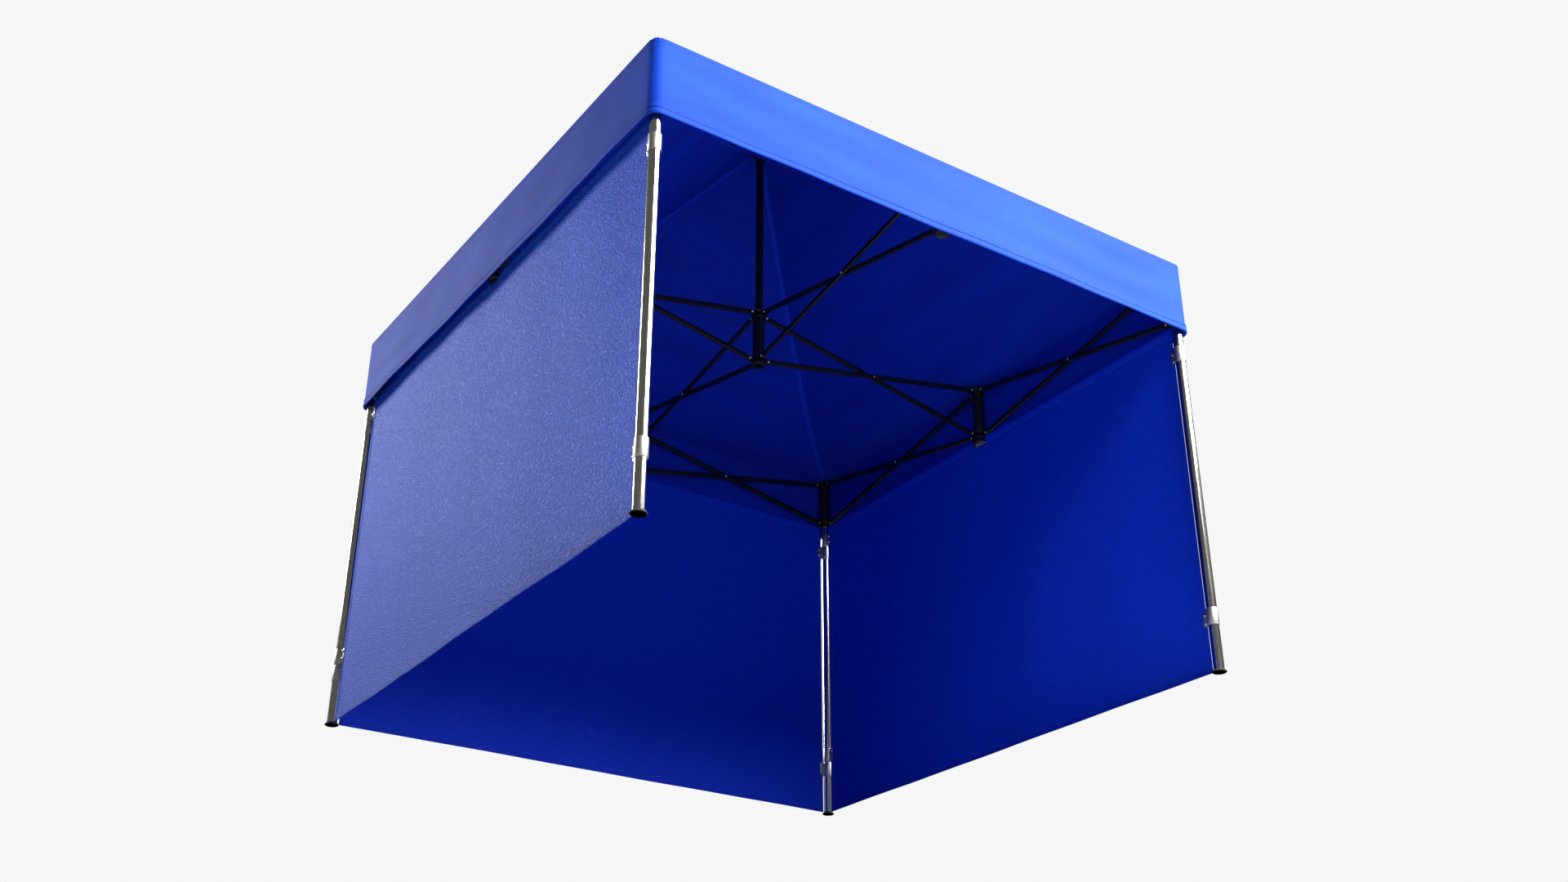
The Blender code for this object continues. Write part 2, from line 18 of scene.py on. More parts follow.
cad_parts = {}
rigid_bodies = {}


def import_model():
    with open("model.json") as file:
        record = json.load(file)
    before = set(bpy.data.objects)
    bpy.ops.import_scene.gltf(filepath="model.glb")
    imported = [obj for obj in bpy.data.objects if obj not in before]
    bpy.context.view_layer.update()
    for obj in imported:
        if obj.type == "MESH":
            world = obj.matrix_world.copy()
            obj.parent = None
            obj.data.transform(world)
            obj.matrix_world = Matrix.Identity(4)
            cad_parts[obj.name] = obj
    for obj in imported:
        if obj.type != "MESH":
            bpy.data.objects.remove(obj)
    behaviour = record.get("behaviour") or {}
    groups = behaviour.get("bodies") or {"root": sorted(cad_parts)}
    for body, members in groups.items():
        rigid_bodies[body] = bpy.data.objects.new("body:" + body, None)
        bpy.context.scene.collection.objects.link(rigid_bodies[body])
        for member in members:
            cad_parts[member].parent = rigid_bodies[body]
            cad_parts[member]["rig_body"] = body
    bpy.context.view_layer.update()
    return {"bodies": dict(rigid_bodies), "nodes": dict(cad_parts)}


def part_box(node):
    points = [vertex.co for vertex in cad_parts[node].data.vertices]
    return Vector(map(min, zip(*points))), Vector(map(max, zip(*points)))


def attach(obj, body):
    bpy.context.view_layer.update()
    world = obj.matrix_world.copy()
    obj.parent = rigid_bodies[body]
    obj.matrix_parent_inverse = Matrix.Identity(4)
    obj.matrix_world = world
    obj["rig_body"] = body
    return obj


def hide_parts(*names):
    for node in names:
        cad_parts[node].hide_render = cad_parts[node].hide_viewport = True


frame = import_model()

# %% [markdown]
# ## Sizes
#
# The main lines of the gazebo are read from the boxes of its CAD nodes: the axes of the legs, the
# heights of the two layers of pivots, the eave and the peak. A size that no box gives, such as the
# thickness of a fork plate, is written here in metres, as in the CAD.

# %% Sizes
def centre(node):
    low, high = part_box(node)
    return (Vector(low) + Vector(high)) / 2


LEG_AXIS = centre("leg_front_right").x
LEG_RADIUS = (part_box("leg_front_right")[1][0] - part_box("leg_front_right")[0][0]) / 2
LEG_FOOT, LEG_TOP = (corner[2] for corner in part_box("leg_front_right"))
UPPER = centre("centre_upper_hub").z
LOWER = 2 * centre("inner_bar_falling_front").z - UPPER
HALF_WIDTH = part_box("canopy")[1][0]
HEM, PEAK = (corner[2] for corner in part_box("canopy"))
EAVE = UPPER + 0.038
HUB_RADIUS, HUB_HALF, POST_RADIUS = 0.034, 0.022, 0.030
PIVOT_OFFSET, BAR_LANE = 0.050, 0.008
BAR_DEPTH, BAR_THICKNESS = 0.025, 0.014
GAP = 0.0003
SPAN = LEG_AXIS - 2 * PIVOT_OFFSET
BAR_LENGTH = math.hypot(SPAN, UPPER - LOWER)
BAR_TILT = math.atan2(UPPER - LOWER, SPAN)
SIDES = {"right": 0, "back": 1, "left": 2, "front": 3}
CORNERS = {"front_left": 0, "front_right": 1, "back_right": 2, "back_left": 3}
print(f"legs at {LEG_AXIS:.3f}, pivots at {LOWER:.3f} and {UPPER:.3f}, hem {HEM:.3f}, peak {PEAK:.3f}")

# %% [markdown]
# ## Helpers for modelling
#
# An operator works on what is selected, as a hand does in the viewport. So each step first deselects
# all, then adds one primitive or picks faces and edges by where they are and which way they face.
# What repeats round the gazebo is modelled once at the origin, and each copy gets its own mesh.

# %% Select, add and edit
def deselect():
    if bpy.context.object and bpy.context.object.mode != "OBJECT":
        bpy.ops.object.mode_set(mode="OBJECT")
    bpy.ops.object.select_all(action="DESELECT")


def only(piece):
    deselect()
    piece.select_set(True)
    bpy.context.view_layer.objects.active = piece
    return piece


def add(name, primitive, **place):
    """Adds a primitive and applies its size and place to its mesh."""
    deselect()
    primitive(**place)
    piece = bpy.context.object
    piece.name = name
    bpy.ops.object.transform_apply(location=True, rotation=True, scale=True)
    return piece


def block(name, location, scale):
    return add(name, bpy.ops.mesh.primitive_cube_add, size=1, location=location, scale=scale)


def rod(name, sides, radius, depth, location, rotation=(0, 0, 0)):
    return add(name, bpy.ops.mesh.primitive_cylinder_add, vertices=sides, radius=radius, depth=depth,
               location=location, rotation=rotation)


def edit(piece):
    only(piece)
    bpy.ops.object.mode_set(mode="EDIT")
    bpy.ops.mesh.select_mode(type="VERT")
    bpy.ops.mesh.select_all(action="SELECT")


def pick(piece, kind, test):
    """In edit mode, selects the VERTs, EDGEs or FACEs whose (middle, direction) passes the test."""
    bpy.ops.mesh.select_mode(type=kind)
    bpy.ops.mesh.select_all(action="DESELECT")
    mesh = bmesh.from_edit_mesh(piece.data)
    mesh.normal_update()
    if kind == "VERT":
        found = [vert for vert in mesh.verts if test(vert.co, vert.normal)]
    elif kind == "EDGE":
        ends = [(edge, *(vert.co for vert in edge.verts)) for edge in mesh.edges]
        found = [edge for edge, a, b in ends if test((a + b) / 2, (b - a).normalized())]
    else:
        found = [face for face in mesh.faces if test(face.calc_center_median(), face.normal)]
    for item in found:
        item.select_set(True)
    mesh.select_flush_mode()
    bmesh.update_edit_mesh(piece.data)
    return len(found)


# %% Modifiers, joins and copies
def use(piece, kind, **settings):
    """Adds a modifier with its settings and applies it."""
    only(piece)
    modifier = piece.modifiers.new(kind.lower(), kind)
    for key, value in settings.items():
        setattr(modifier, key, value)
    bpy.ops.object.modifier_apply(modifier=modifier.name)
    return piece


def soften_edges(piece, width, segments=2, angle=50):
    return use(piece, "BEVEL", width=width, segments=segments, limit_method="ANGLE",
               angle_limit=math.radians(angle))


def shade(piece, angle=40):
    only(piece)
    bpy.ops.object.shade_smooth_by_angle(angle=math.radians(angle))
    return piece


def united(piece, others):
    for other in others:
        use(piece, "BOOLEAN", object=other, operation="UNION", solver="EXACT")
        bpy.data.objects.remove(other)
    return piece


def joined(name, pieces):
    deselect()
    for piece in pieces:
        piece.select_set(True)
    bpy.context.view_layer.objects.active = pieces[0]
    bpy.ops.object.join()
    pieces[0].name = name
    return pieces[0]


def copied(pattern, name, matrix):
    """A copy with its own mesh, moved in its mesh so that its object stays at the origin."""
    twin = pattern.copy()
    twin.data = pattern.data.copy()
    twin.name = twin.data.name = name
    bpy.context.scene.collection.objects.link(twin)
    twin.data.transform(matrix)
    return twin


def discard(*patterns):
    for pattern in patterns:
        bpy.data.objects.remove(pattern)


def quarter(turns):
    return Matrix.Rotation(math.tau * turns / 4, 4, "Z")


def at(x, y, z):
    return Matrix.Translation((x, y, z))


# %% Turned shapes
def extrude_ring(size, height, next_size, next_height):
    """Extrudes the selected ring to its next size and height."""
    scale = next_size / size
    bpy.ops.mesh.extrude_region_move()
    bpy.ops.transform.resize(value=(scale, scale, 1), center_override=(0, 0, height))
    bpy.ops.transform.translate(value=(0, 0, next_height - height))
    return next_size, next_height


def turned(name, profile, hollow=False, segments=48):
    """A shape turned about Z. A circle's rim is extruded from each (radius, height) to the next.

    A solid starts and ends in a flat face, and a hollow one closes on its first ring.
    """
    radius, height = profile[0]
    piece = add(name, bpy.ops.mesh.primitive_circle_add, vertices=segments, radius=radius,
                location=(0, 0, height), fill_type="NOTHING" if hollow else "NGON")
    edit(piece)
    for next_radius, next_height in profile[1:] + (profile[:1] if hollow else []):
        radius, height = extrude_ring(radius, height, next_radius, next_height)
    bpy.ops.mesh.select_all(action="SELECT")
    bpy.ops.mesh.remove_doubles(threshold=1e-6)
    bpy.ops.mesh.normals_make_consistent(inside=False)
    deselect()
    return piece


# %% [markdown]
# ## Finishes
#
# Each finish is a node tree that starts from what the real material is. Colours are sRGB hex values,
# turned to linear by one function. Patterns on metal and plastic read Object coordinates in metres.
# Patterns on cloth read a UV map, also in metres, so that the weave follows the cloth.

# %% One function for colours and one for nodes
def colour(text):
    """An sRGB hex colour as linear RGBA."""
    parts = [int(text[i:i + 2], 16) / 255 for i in (0, 2, 4)]
    return (*(c / 12.92 if c <= 0.04045 else ((c + 0.055) / 1.055) ** 2.4 for c in parts), 1)


def node(tree, kind, inputs=(), **settings):
    """Adds a node. inputs maps sockets to values, or to the outputs that feed them."""
    added = tree.nodes.new(kind)
    for key, value in settings.items():
        setattr(added, key, value)
    for socket, value in dict(inputs).items():
        if isinstance(value, bpy.types.NodeSocket):
            tree.links.new(value, added.inputs[socket])
        else:
            added.inputs[socket].default_value = value
    return added


def new_finish(name, **values):
    """An empty material with one Principled shader. Its even values are set on the shader itself."""
    material = bpy.data.materials.new(name)
    material.use_nodes = True
    tree = material.node_tree
    shader = tree.nodes["Principled BSDF"]
    for socket, value in values.items():
        shader.inputs[socket.replace("_", " ")].default_value = value
    return material, tree, shader


def mapped(tree, scale, source="Object"):
    """Coordinates in metres, stretched by a scale for each axis."""
    place = node(tree, "ShaderNodeTexCoord")
    return node(tree, "ShaderNodeMapping", {"Vector": place.outputs[source], "Scale": scale}).outputs[0]


def noise(tree, vector, detail, scale=1, **more):
    return node(tree, "ShaderNodeTexNoise", {"Vector": vector, "Scale": scale, "Detail": detail, **more})


def plug(tree, source, target, socket):
    tree.links.new(source.outputs[0], target.inputs[socket])


def relief(tree, shader, height, distance, strength):
    bump = node(tree, "ShaderNodeBump",
                {"Height": height.outputs[0], "Distance": distance, "Strength": strength})
    plug(tree, bump, shader, "Normal")


def blend_colours(tree, factor, first, second):
    ramp = node(tree, "ShaderNodeValToRGB", {"Fac": factor})
    ramp.color_ramp.elements[0].color = colour(first)
    ramp.color_ramp.elements[1].color = colour(second)
    return ramp


# %% [markdown]
# ### Canopy cloth
#
# The canopy is 600 denier polyester, plain woven and proofed with polyurethane on its inside. It has
# a slight sheen and its yarns run along each panel. The real yarns are 0.5 mm apart, too fine to
# show, so the weave is drawn 7 mm apart, and slubs in the yarn make streaks 45 mm long.

# %% Canopy cloth
def woven_polyester(name, dark, light, sheen, gloss):
    material, tree, shader = new_finish(name, Roughness=0.7, Sheen_Weight=sheen, Sheen_Roughness=0.45)
    shader.inputs["Sheen Tint"].default_value = colour("9DB4FF")
    shader.inputs["Specular IOR Level"].default_value = gloss
    slubs = noise(tree, mapped(tree, (22, 330, 1), "UV"), 3, Roughness=0.6)
    clouds = noise(tree, mapped(tree, (1.4, 7, 1), "UV"), 2)
    mottle = node(tree, "ShaderNodeMath", {0: slubs.outputs[0], 1: clouds.outputs[0]},
                  operation="MULTIPLY")
    shades = blend_colours(tree, mottle.outputs[0], dark, light)
    shades.color_ramp.elements[0].position = 0.12
    shades.color_ramp.elements[1].position = 0.42
    plug(tree, shades, shader, "Base Color")
    warp, weft = (node(tree, "ShaderNodeTexWave",
                       {"Vector": mapped(tree, (1, 1, 1), "UV"), "Scale": 72}, bands_direction=way)
                  for way in "XY")
    weave = node(tree, "ShaderNodeMath", {0: warp.outputs[1], 1: weft.outputs[1]}, operation="MAXIMUM")
    height = node(tree, "ShaderNodeMath", {0: slubs.outputs[0], 1: weave.outputs[0]}, operation="ADD")
    relief(tree, shader, height, 0.0007, 0.55)
    return material


canopy_cloth = woven_polyester("woven_polyester_canopy", "0838AC", "0E46C8", 0.02, 0.13)
# The back finish is darker and more saturated than the face: partly the real proofed back, partly painted
# shade for the shade under the roof.
canopy_back_painted_shade = woven_polyester("proofed_back_of_canopy_with_painted_shade", "0423A6", "052EC2", 0.0, 0.12)
seam_tape = woven_polyester("woven_polyester_seam_tape", "062EC0", "0A3CDC", 0.0, 0.15)
print("canopy finishes:", canopy_cloth.name, canopy_back_painted_shade.name, seam_tape.name)

# %% [markdown]
# ### Wall cloth
#
# The walls are polyester coated with PVC, embossed between rollers with a grain of soft pebbles about
# 12 mm long that lean to one side. The coating gives a duller sheen than the canopy has.

# %% Wall cloth
def embossed_pvc(name, dark, light, gloss, depth):
    material, tree, shader = new_finish(name, Roughness=0.62)
    shader.inputs["Specular IOR Level"].default_value = gloss
    place = node(tree, "ShaderNodeTexCoord")
    lean = node(tree, "ShaderNodeMapping",
                {"Vector": place.outputs["UV"], "Rotation": (0, 0, math.radians(24)), "Scale": (75, 125, 1)})
    wander = noise(tree, lean.outputs[0], 1, 0.5)
    shifted = node(tree, "ShaderNodeVectorMath",
                   {0: lean.outputs[0], 1: wander.outputs[1]}, operation="ADD")
    pebbles = noise(tree, shifted.outputs[0], 2.5, 1.1, Roughness=0.55)
    grain = node(tree, "ShaderNodeMapRange",
                 {"Value": pebbles.outputs[0], "From Min": 0.36, "From Max": 0.64},
                 interpolation_type="SMOOTHSTEP")
    clouds = noise(tree, mapped(tree, (1.6, 1.1, 1), "UV"), 3)
    both = node(tree, "ShaderNodeMath",
                {0: grain.outputs[0], 1: clouds.outputs[0]}, operation="MULTIPLY")
    shades = blend_colours(tree, both.outputs[0], dark, light)
    shades.color_ramp.elements[1].position = 0.7
    plug(tree, shades, shader, "Base Color")
    relief(tree, shader, grain, depth, 1.0)
    return material


wall_cloth = embossed_pvc("embossed_pvc_wall", "0E4AD8", "2064FF", 0.24, 0.0045)
# The back finish is darker than the face: partly the real smooth back with its shallow grain, partly painted
# shade for the shade inside the walls.
wall_back_painted_shade = embossed_pvc("smooth_back_of_wall_with_painted_shade", "0634CC", "083CE0", 0.12, 0.0007)
print("wall finishes:", wall_cloth.name, wall_back_painted_shade.name)

# %% [markdown]
# ### Thread, steel, nylon and rubber
#
# Bonded nylon thread is a darker navy than the cloth. The bars have a black powder coat with the
# slight orange peel of a baked powder. Hubs and sliders are glass filled nylon, moulded, with a fine
# spark finish. The legs are chrome plated tube: a mirror with faint draw lines along it. The clamps
# are brushed stainless steel, bolts are bright zinc, and the feet are matt black rubber.

# %% Thread and metals
def patterned(name, first, second, scale, bump_height, **values):
    """A finish whose colour, relief and gloss come from one noise on Object coordinates."""
    spots = (0.3, 0.7)
    material, tree, shader = new_finish(name, **values)
    spread = noise(tree, mapped(tree, scale), 4, Roughness=0.6)
    shades = blend_colours(tree, spread.outputs[0], first, second)
    shades.color_ramp.elements[0].position, shades.color_ramp.elements[1].position = spots
    plug(tree, shades, shader, "Base Color")
    relief(tree, shader, spread, bump_height, 0.5)
    rough = values["Roughness"]
    ramp = node(tree, "ShaderNodeMapRange", {"Value": spread.outputs[0], "From Min": spots[0],
                "From Max": spots[1], "To Min": rough * 0.8, "To Max": min(1, rough * 1.25)})
    plug(tree, ramp, shader, "Roughness")
    return material


thread = patterned("bonded_nylon_thread", "04104A", "0A1C6E", (900, 900, 900), 0.0001, Roughness=0.6)
blue_thread = patterned("blue_nylon_thread", "0428A0", "0630B4", (900, 900, 900), 0.0001,
                        Roughness=0.6)
powder_coat = patterned("black_powder_coated_steel", "060708", "121316", (420, 420, 420), 0.0002,
                        Roughness=0.38)
nylon = patterned("black_glass_filled_nylon", "070708", "111214", (900, 900, 900), 0.0001, Roughness=0.42)
chrome = patterned("chrome_plated_steel", "C4C2BC", "DEDDDA", (260, 260, 3), 0.00002,
                   Metallic=1.0, Roughness=0.14)
stainless = patterned("brushed_stainless_steel", "B4B2AC", "CCCAC5", (40, 40, 1500), 0.00008,
                      Metallic=1.0, Roughness=0.42)
zinc = patterned("bright_zinc_plated_steel", "C9C8C4", "ECEBE8", (700, 700, 700), 0.0001,
                 Metallic=1.0, Roughness=0.22)
rubber = patterned("matt_black_rubber", "2C2C2B", "3A3A38", (600, 600, 600), 0.0002, Roughness=0.78)
print("hard finishes:", powder_coat.name, nylon.name, chrome.name, stainless.name, zinc.name, rubber.name)


def fit(piece, material, body, *replaced):
    if not piece.data.materials:
        piece.data.materials.append(material)
    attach(piece, body)
    if replaced:
        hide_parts(*replaced)
    return piece


# %% [markdown]
# ## The scissor bars
#
# Each of the 24 bars is a flat-sided steel tube with round ends. It starts as a box: the upright
# edges at its ends are bevelled to half circles, and a small bevel then rounds every long edge, as
# the tube's own corner radius does. Two bars cross at a rivet, so they lie in lanes 16 mm apart.

# %% One bar
def model_bar():
    bar = block("bar", (BAR_LENGTH / 2, 0, 0), (BAR_LENGTH + BAR_DEPTH, BAR_THICKNESS, BAR_DEPTH))
    edit(bar)
    pick(bar, "EDGE", lambda middle, way: abs(way.y) > 0.9)
    bpy.ops.mesh.bevel(offset=BAR_DEPTH * 0.48, segments=8, affect="EDGES")
    soften_edges(bar, 0.0015, 2)
    return shade(bar)


def bar_place(start, turns, lane, falling):
    tilt = Matrix.Rotation(BAR_TILT if falling else -BAR_TILT, 4, "Y")
    return at(*start) @ quarter(turns) @ at(0, lane, 0) @ tilt


bar = model_bar()
print("one bar:", len(bar.data.polygons), "faces,", round(BAR_LENGTH, 3), "m between pivots")

# %% [markdown]
# The rivet that joins two crossed bars has a low dome on a washer at each side. It is turned as one
# shape about Z and then laid along Y. It belongs to the bar in the left lane.

# %% One rivet
def model_rivet():
    face, dome = BAR_LANE + BAR_THICKNESS / 2, 0.0032
    half = [(0.0042, face - 0.001), (0.0100, face - 0.0002), (0.0100, face + 0.0010),
            (0.0074, face + 0.0012), (0.0070, face + 0.0022), (0.0052, face + dome),
            (0.0020, face + dome + 0.0006)]
    profile = [(radius, -height) for radius, height in reversed(half)] + half
    rivet = turned("rivet", profile, segments=24)
    rivet.data.transform(Matrix.Rotation(math.pi / 2, 4, "X"))
    return shade(rivet, 35)


rivet = model_rivet()
print("one rivet:", len(rivet.data.polygons), "faces")

# %% Lay the bars and rivets
def corner_of(side, end):
    """The corner at one end of a side, and the side it shares. end is 1 on the left from inside."""
    words = {turns: word for word, turns in SIDES.items()}
    other = words[(SIDES[side] + end) % 4]
    pair = (side, other) if side in ("front", "back") else (other, side)
    return "_".join(pair), other


def lay_pair(name_riveted, name_plain, origin, turns, riveted_falls):
    for name, riveted in ((name_riveted, True), (name_plain, False)):
        falls = riveted == riveted_falls
        start = origin + Vector((0, 0, UPPER if falls else LOWER))
        place = bar_place(start, turns, BAR_LANE if riveted else -BAR_LANE, falls)
        fit(copied(bar, name.replace("bar", "tube"), place), powder_coat, name, name)
        if riveted:
            middle = place @ at(BAR_LENGTH / 2, -BAR_LANE, 0)
            fit(copied(rivet, name.replace("bar", "rivet"), middle), zinc, name)


for side, turns in SIDES.items():
    start = quarter(turns) @ Vector((PIVOT_OFFSET, 0, 0))
    lay_pair("inner_bar_falling_" + side, "inner_bar_rising_" + side, start, turns, True)
    for end in (1, -1):
        other = corner_of(side, end)[1]
        start = quarter(turns) @ Vector((LEG_AXIS, end * PIVOT_OFFSET, 0))
        lay_pair(f"side_bar_rising_{side}_{other}", f"side_bar_falling_{side}_{other}", start,
                 turns + end, False)
discard(bar, rivet)
print("laid 24 bars and 12 rivets")

# %% [markdown]
# ## Hubs
#
# The bars pivot in forks on moulded nylon hubs. A hub is turned as a spool with a thinner waist, and
# every fourth face of the waist is pulled out to make its moulded ribs. The fork plates are boxes
# with bevelled ends, united with the spool. One bolt is modelled for all 48 pivots.

# %% One fork and one bolt
FORK_INNER = BAR_THICKNESS / 2 + 0.0005
FORK_OUTER = FORK_INNER + 0.003
FORK_TIP, FORK_HALF = PIVOT_OFFSET + 0.011, 0.013


def fork_plates(turns, lane):
    """Two plates that hold a bar's end. They point along +X before their quarter turns."""
    plates = []
    for low, high in ((lane - FORK_OUTER, lane - FORK_INNER), (lane + FORK_INNER, lane + FORK_OUTER)):
        root = HUB_RADIUS / 2
        plate = block("plate", ((root + FORK_TIP) / 2, (low + high) / 2, 0),
                      (FORK_TIP - root, high - low, 2 * FORK_HALF))
        edit(plate)
        pick(plate, "EDGE", lambda middle, way: abs(way.y) > 0.9 and middle.x > HUB_RADIUS)
        bpy.ops.mesh.bevel(offset=FORK_HALF * 0.94, segments=6, affect="EDGES")
        deselect()
        plate.data.transform(quarter(turns))
        plates.append(plate)
    return plates


def model_bolt():
    """A hex head and a washer on one side, a lock nut and a washer on the other, along Y."""
    parts = []
    for sign, head in ((1, 0.0026), (-1, 0.0030)):
        washer = turned("washer", [(0.0088, FORK_OUTER - 0.0002), (0.0088, FORK_OUTER + 0.0006)],
                        segments=20)
        hexagon = rod("hexagon", 6, 0.0072, head, (0, 0, FORK_OUTER + 0.0004 + head / 2))
        soften_edges(hexagon, 0.0005, 2, 25)
        end = turned("thread_end", [(0.0036, FORK_OUTER), (0.0036, FORK_OUTER + head + 0.0006),
                                    (0.0026, FORK_OUTER + head + 0.0012)], segments=12)
        side = joined("bolt_end", [washer, hexagon, end])
        side.data.transform(Matrix.Rotation(-sign * math.pi / 2, 4, "X"))
        parts.append(side)
    return shade(joined("bolt", parts), 30)


bolt = model_bolt()
print("one pivot bolt:", len(bolt.data.polygons), "faces")

# %% Build a hub and place it
def spool(radius, low, high, bore=None, waist=0.003, lip=0.006):
    """The half profile of a spool, from its bottom to its top, with chamfered lips."""
    inner = bore or 0.004
    return [(inner, low), (radius - 0.0015, low), (radius, low + 0.0015), (radius, low + lip),
            (radius - waist, low + lip + waist / 2), (radius - waist, high - lip - waist / 2),
            (radius, high - lip), (radius, high - 0.0015), (radius - 0.0015, high), (inner, high)]


def ribs(piece, radius, low, high):
    """Pulls every fourth face of the waist out to the lip's radius."""
    def on_waist(middle, way):
        step = round(math.atan2(middle.y, middle.x) / (math.tau / 48) - 0.5)
        return (abs(way.z) < 0.1 and low < middle.z < high and step % 4 == 0
                and radius - 0.006 < math.hypot(middle.x, middle.y) < radius - 0.002)
    edit(piece)
    pick(piece, "FACE", on_waist)
    bpy.ops.mesh.extrude_region_shrink_fatten(TRANSFORM_OT_shrink_fatten={"value": 0.0024})
    deselect()
    return piece


def hub(name, profile, hollow, forks, more=()):
    body = turned(name, profile, hollow)
    ribs(body, HUB_RADIUS, -HUB_HALF, HUB_HALF)
    plates = [plate for turns, lane in forks for plate in fork_plates(turns, lane)]
    united(body, [*plates, *more])
    soften_edges(body, 0.0006, 1, 55)
    shade(body, 35)
    bolts = [copied(bolt, "bolt_copy", quarter(turns) @ at(PIVOT_OFFSET, lane, 0))
             for turns, lane in forks]
    return body, joined(name + "_bolts", bolts)


def set_hub(models, node_name, place):
    """Sets copies of a hub and its bolts in place, on the body of the same name as the node."""
    body = frame["nodes"][node_name]["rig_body"]
    shell, bolts = models
    fit(copied(shell, node_name + "_moulding", place), nylon, body, node_name)
    fit(copied(bolts, node_name + "_bolts", place), zinc, body)


# %% Centre hubs
POLE_RADIUS = 0.020
upper_centre = hub("centre_upper", spool(HUB_RADIUS, -HUB_HALF, HUB_HALF, POLE_RADIUS + GAP), True,
                   [(turns, BAR_LANE) for turns in range(4)])
set_hub(upper_centre, "centre_upper_hub", at(0, 0, UPPER))
flange = HUB_RADIUS + 0.003
sleeve_top = UPPER - LOWER - HUB_HALF - 0.0005
lower_profile = [(POLE_RADIUS + GAP, -HUB_HALF - 0.012), (flange - 0.002, -HUB_HALF - 0.012),
                 (flange, -HUB_HALF - 0.010), (flange, -HUB_HALF - 0.001), (flange - 0.001, -HUB_HALF),
                 *spool(HUB_RADIUS, -HUB_HALF, HUB_HALF)[2:-2],
                 (POST_RADIUS, HUB_HALF), (POST_RADIUS, sleeve_top - 0.001),
                 (POST_RADIUS - 0.001, sleeve_top), (POLE_RADIUS + GAP, sleeve_top)]
lower_centre = hub("centre_lower", lower_profile, True, [(turns, -BAR_LANE) for turns in range(4)])
set_hub(lower_centre, "centre_lower_hub", at(0, 0, LOWER))
discard(*upper_centre, *lower_centre)
print("centre hubs set, 8 pivots")

# %% Hubs in the middle of each side
post_bottom = LOWER - UPPER - HUB_HALF + 0.0045
upper_profile = [(POST_RADIUS - 0.003, post_bottom), (POST_RADIUS, post_bottom), (POST_RADIUS, -HUB_HALF),
                 *spool(HUB_RADIUS, -HUB_HALF, HUB_HALF)[1:-1], (0.012, HUB_HALF), (0.012, HUB_HALF - 0.003),
                 (POST_RADIUS - 0.003, HUB_HALF - 0.004)]
upper_middle = hub("mid_upper", upper_profile, True, [(2, BAR_LANE), (1, -BAR_LANE), (3, -BAR_LANE)])
cap, cap_drop, cup = HUB_RADIUS + 0.003, 0.058, POST_RADIUS + GAP
cap_profile = [(0.010, -cap_drop + 0.003), (cap - 0.014, -cap_drop + 0.003), (cap - 0.012, -cap_drop),
               (cap - 0.006, -cap_drop), (cap, -cap_drop + 0.006), (cap, -HUB_HALF - 0.006),
               (cap - 0.0015, -HUB_HALF - 0.004), (cap, -HUB_HALF - 0.002), (cap, -HUB_HALF),
               *spool(HUB_RADIUS + GAP, -HUB_HALF, HUB_HALF)[2:-2],
               (HUB_RADIUS - 0.001, HUB_HALF), (cup, HUB_HALF), (cup, -HUB_HALF + 0.0035)]
lower_middle = hub("mid_lower", cap_profile, False, [(2, -BAR_LANE), (1, BAR_LANE), (3, BAR_LANE)])
for side, turns in SIDES.items():
    set_hub(upper_middle, "mid_upper_hub_" + side, quarter(turns) @ at(LEG_AXIS, 0, UPPER))
    set_hub(lower_middle, "mid_lower_hub_" + side, quarter(turns) @ at(LEG_AXIS, 0, LOWER))
discard(*upper_middle, *lower_middle)
print("side hubs set, 24 pivots")

# %% Leg brackets and sliders
def leg_place(turns, height):
    return quarter(turns) @ at(-LEG_AXIS, -LEG_AXIS, height)


leg_bore = LEG_RADIUS + GAP
sleeve_end = LOWER - UPPER + HUB_HALF + 0.0005
bracket_profile = [(0.030, HUB_HALF), *reversed(spool(HUB_RADIUS, -HUB_HALF, HUB_HALF)[1:-2]),
                   (POST_RADIUS, -HUB_HALF), (POST_RADIUS, sleeve_end + 0.001),
                   (POST_RADIUS - 0.001, sleeve_end),
                   (leg_bore, sleeve_end), (leg_bore, HUB_HALF - 0.003)]
bracket = hub("leg_bracket", bracket_profile, False, [(0, -BAR_LANE), (1, -BAR_LANE)])
slider = hub("slider", spool(HUB_RADIUS, -HUB_HALF + 0.002, HUB_HALF, leg_bore), True,
             [(0, BAR_LANE), (1, BAR_LANE)])
for corner, turns in CORNERS.items():
    set_hub(bracket, "leg_bracket_" + corner, leg_place(turns, UPPER))
    set_hub(slider, "slider_" + corner, leg_place(turns, LOWER))
discard(*bracket, *slider, bolt)
print("leg brackets and sliders set, 16 pivots")

# %% [markdown]
# The slider locks with a spring pull pin on the inner side of the leg. Its knob is turned with two
# finger grooves and laid along the diagonal. The tip stops inside the slider, short of the leg.

# %% Pull pins
knob_face = HUB_RADIUS + GAP
grooves = [(0.0062, 0), (0.0070, 0.0008), (0.0070, 0.0035), (0.0058, 0.0050), (0.0070, 0.0065),
           (0.0070, 0.0085), (0.0058, 0.0100), (0.0070, 0.0115), (0.0070, 0.0145), (0.0058, 0.0160)]
knob_profile = [(0.0029, leg_bore + GAP), (0.0029, knob_face),
                *((radius, knob_face + height) for radius, height in grooves)]
pin = shade(turned("pin", knob_profile, segments=24), 30)
pin.data.transform(quarter(0.5) @ Matrix.Rotation(math.pi / 2, 4, "Y"))
for corner, turns in CORNERS.items():
    place = leg_place(turns, LOWER)
    fit(copied(pin, "pull_knob_" + corner, place), nylon, "pull_pin_" + corner, "pull_pin_" + corner)
discard(pin)
print("four pull pins set")

# %% [markdown]
# ## Legs and feet
#
# A leg is one polished round tube, hollow, with the hole that the pull pin locks in. The hole is cut
# by a Boolean with a short rod. The foot is a rubber disc with a low cup that grips the tube.

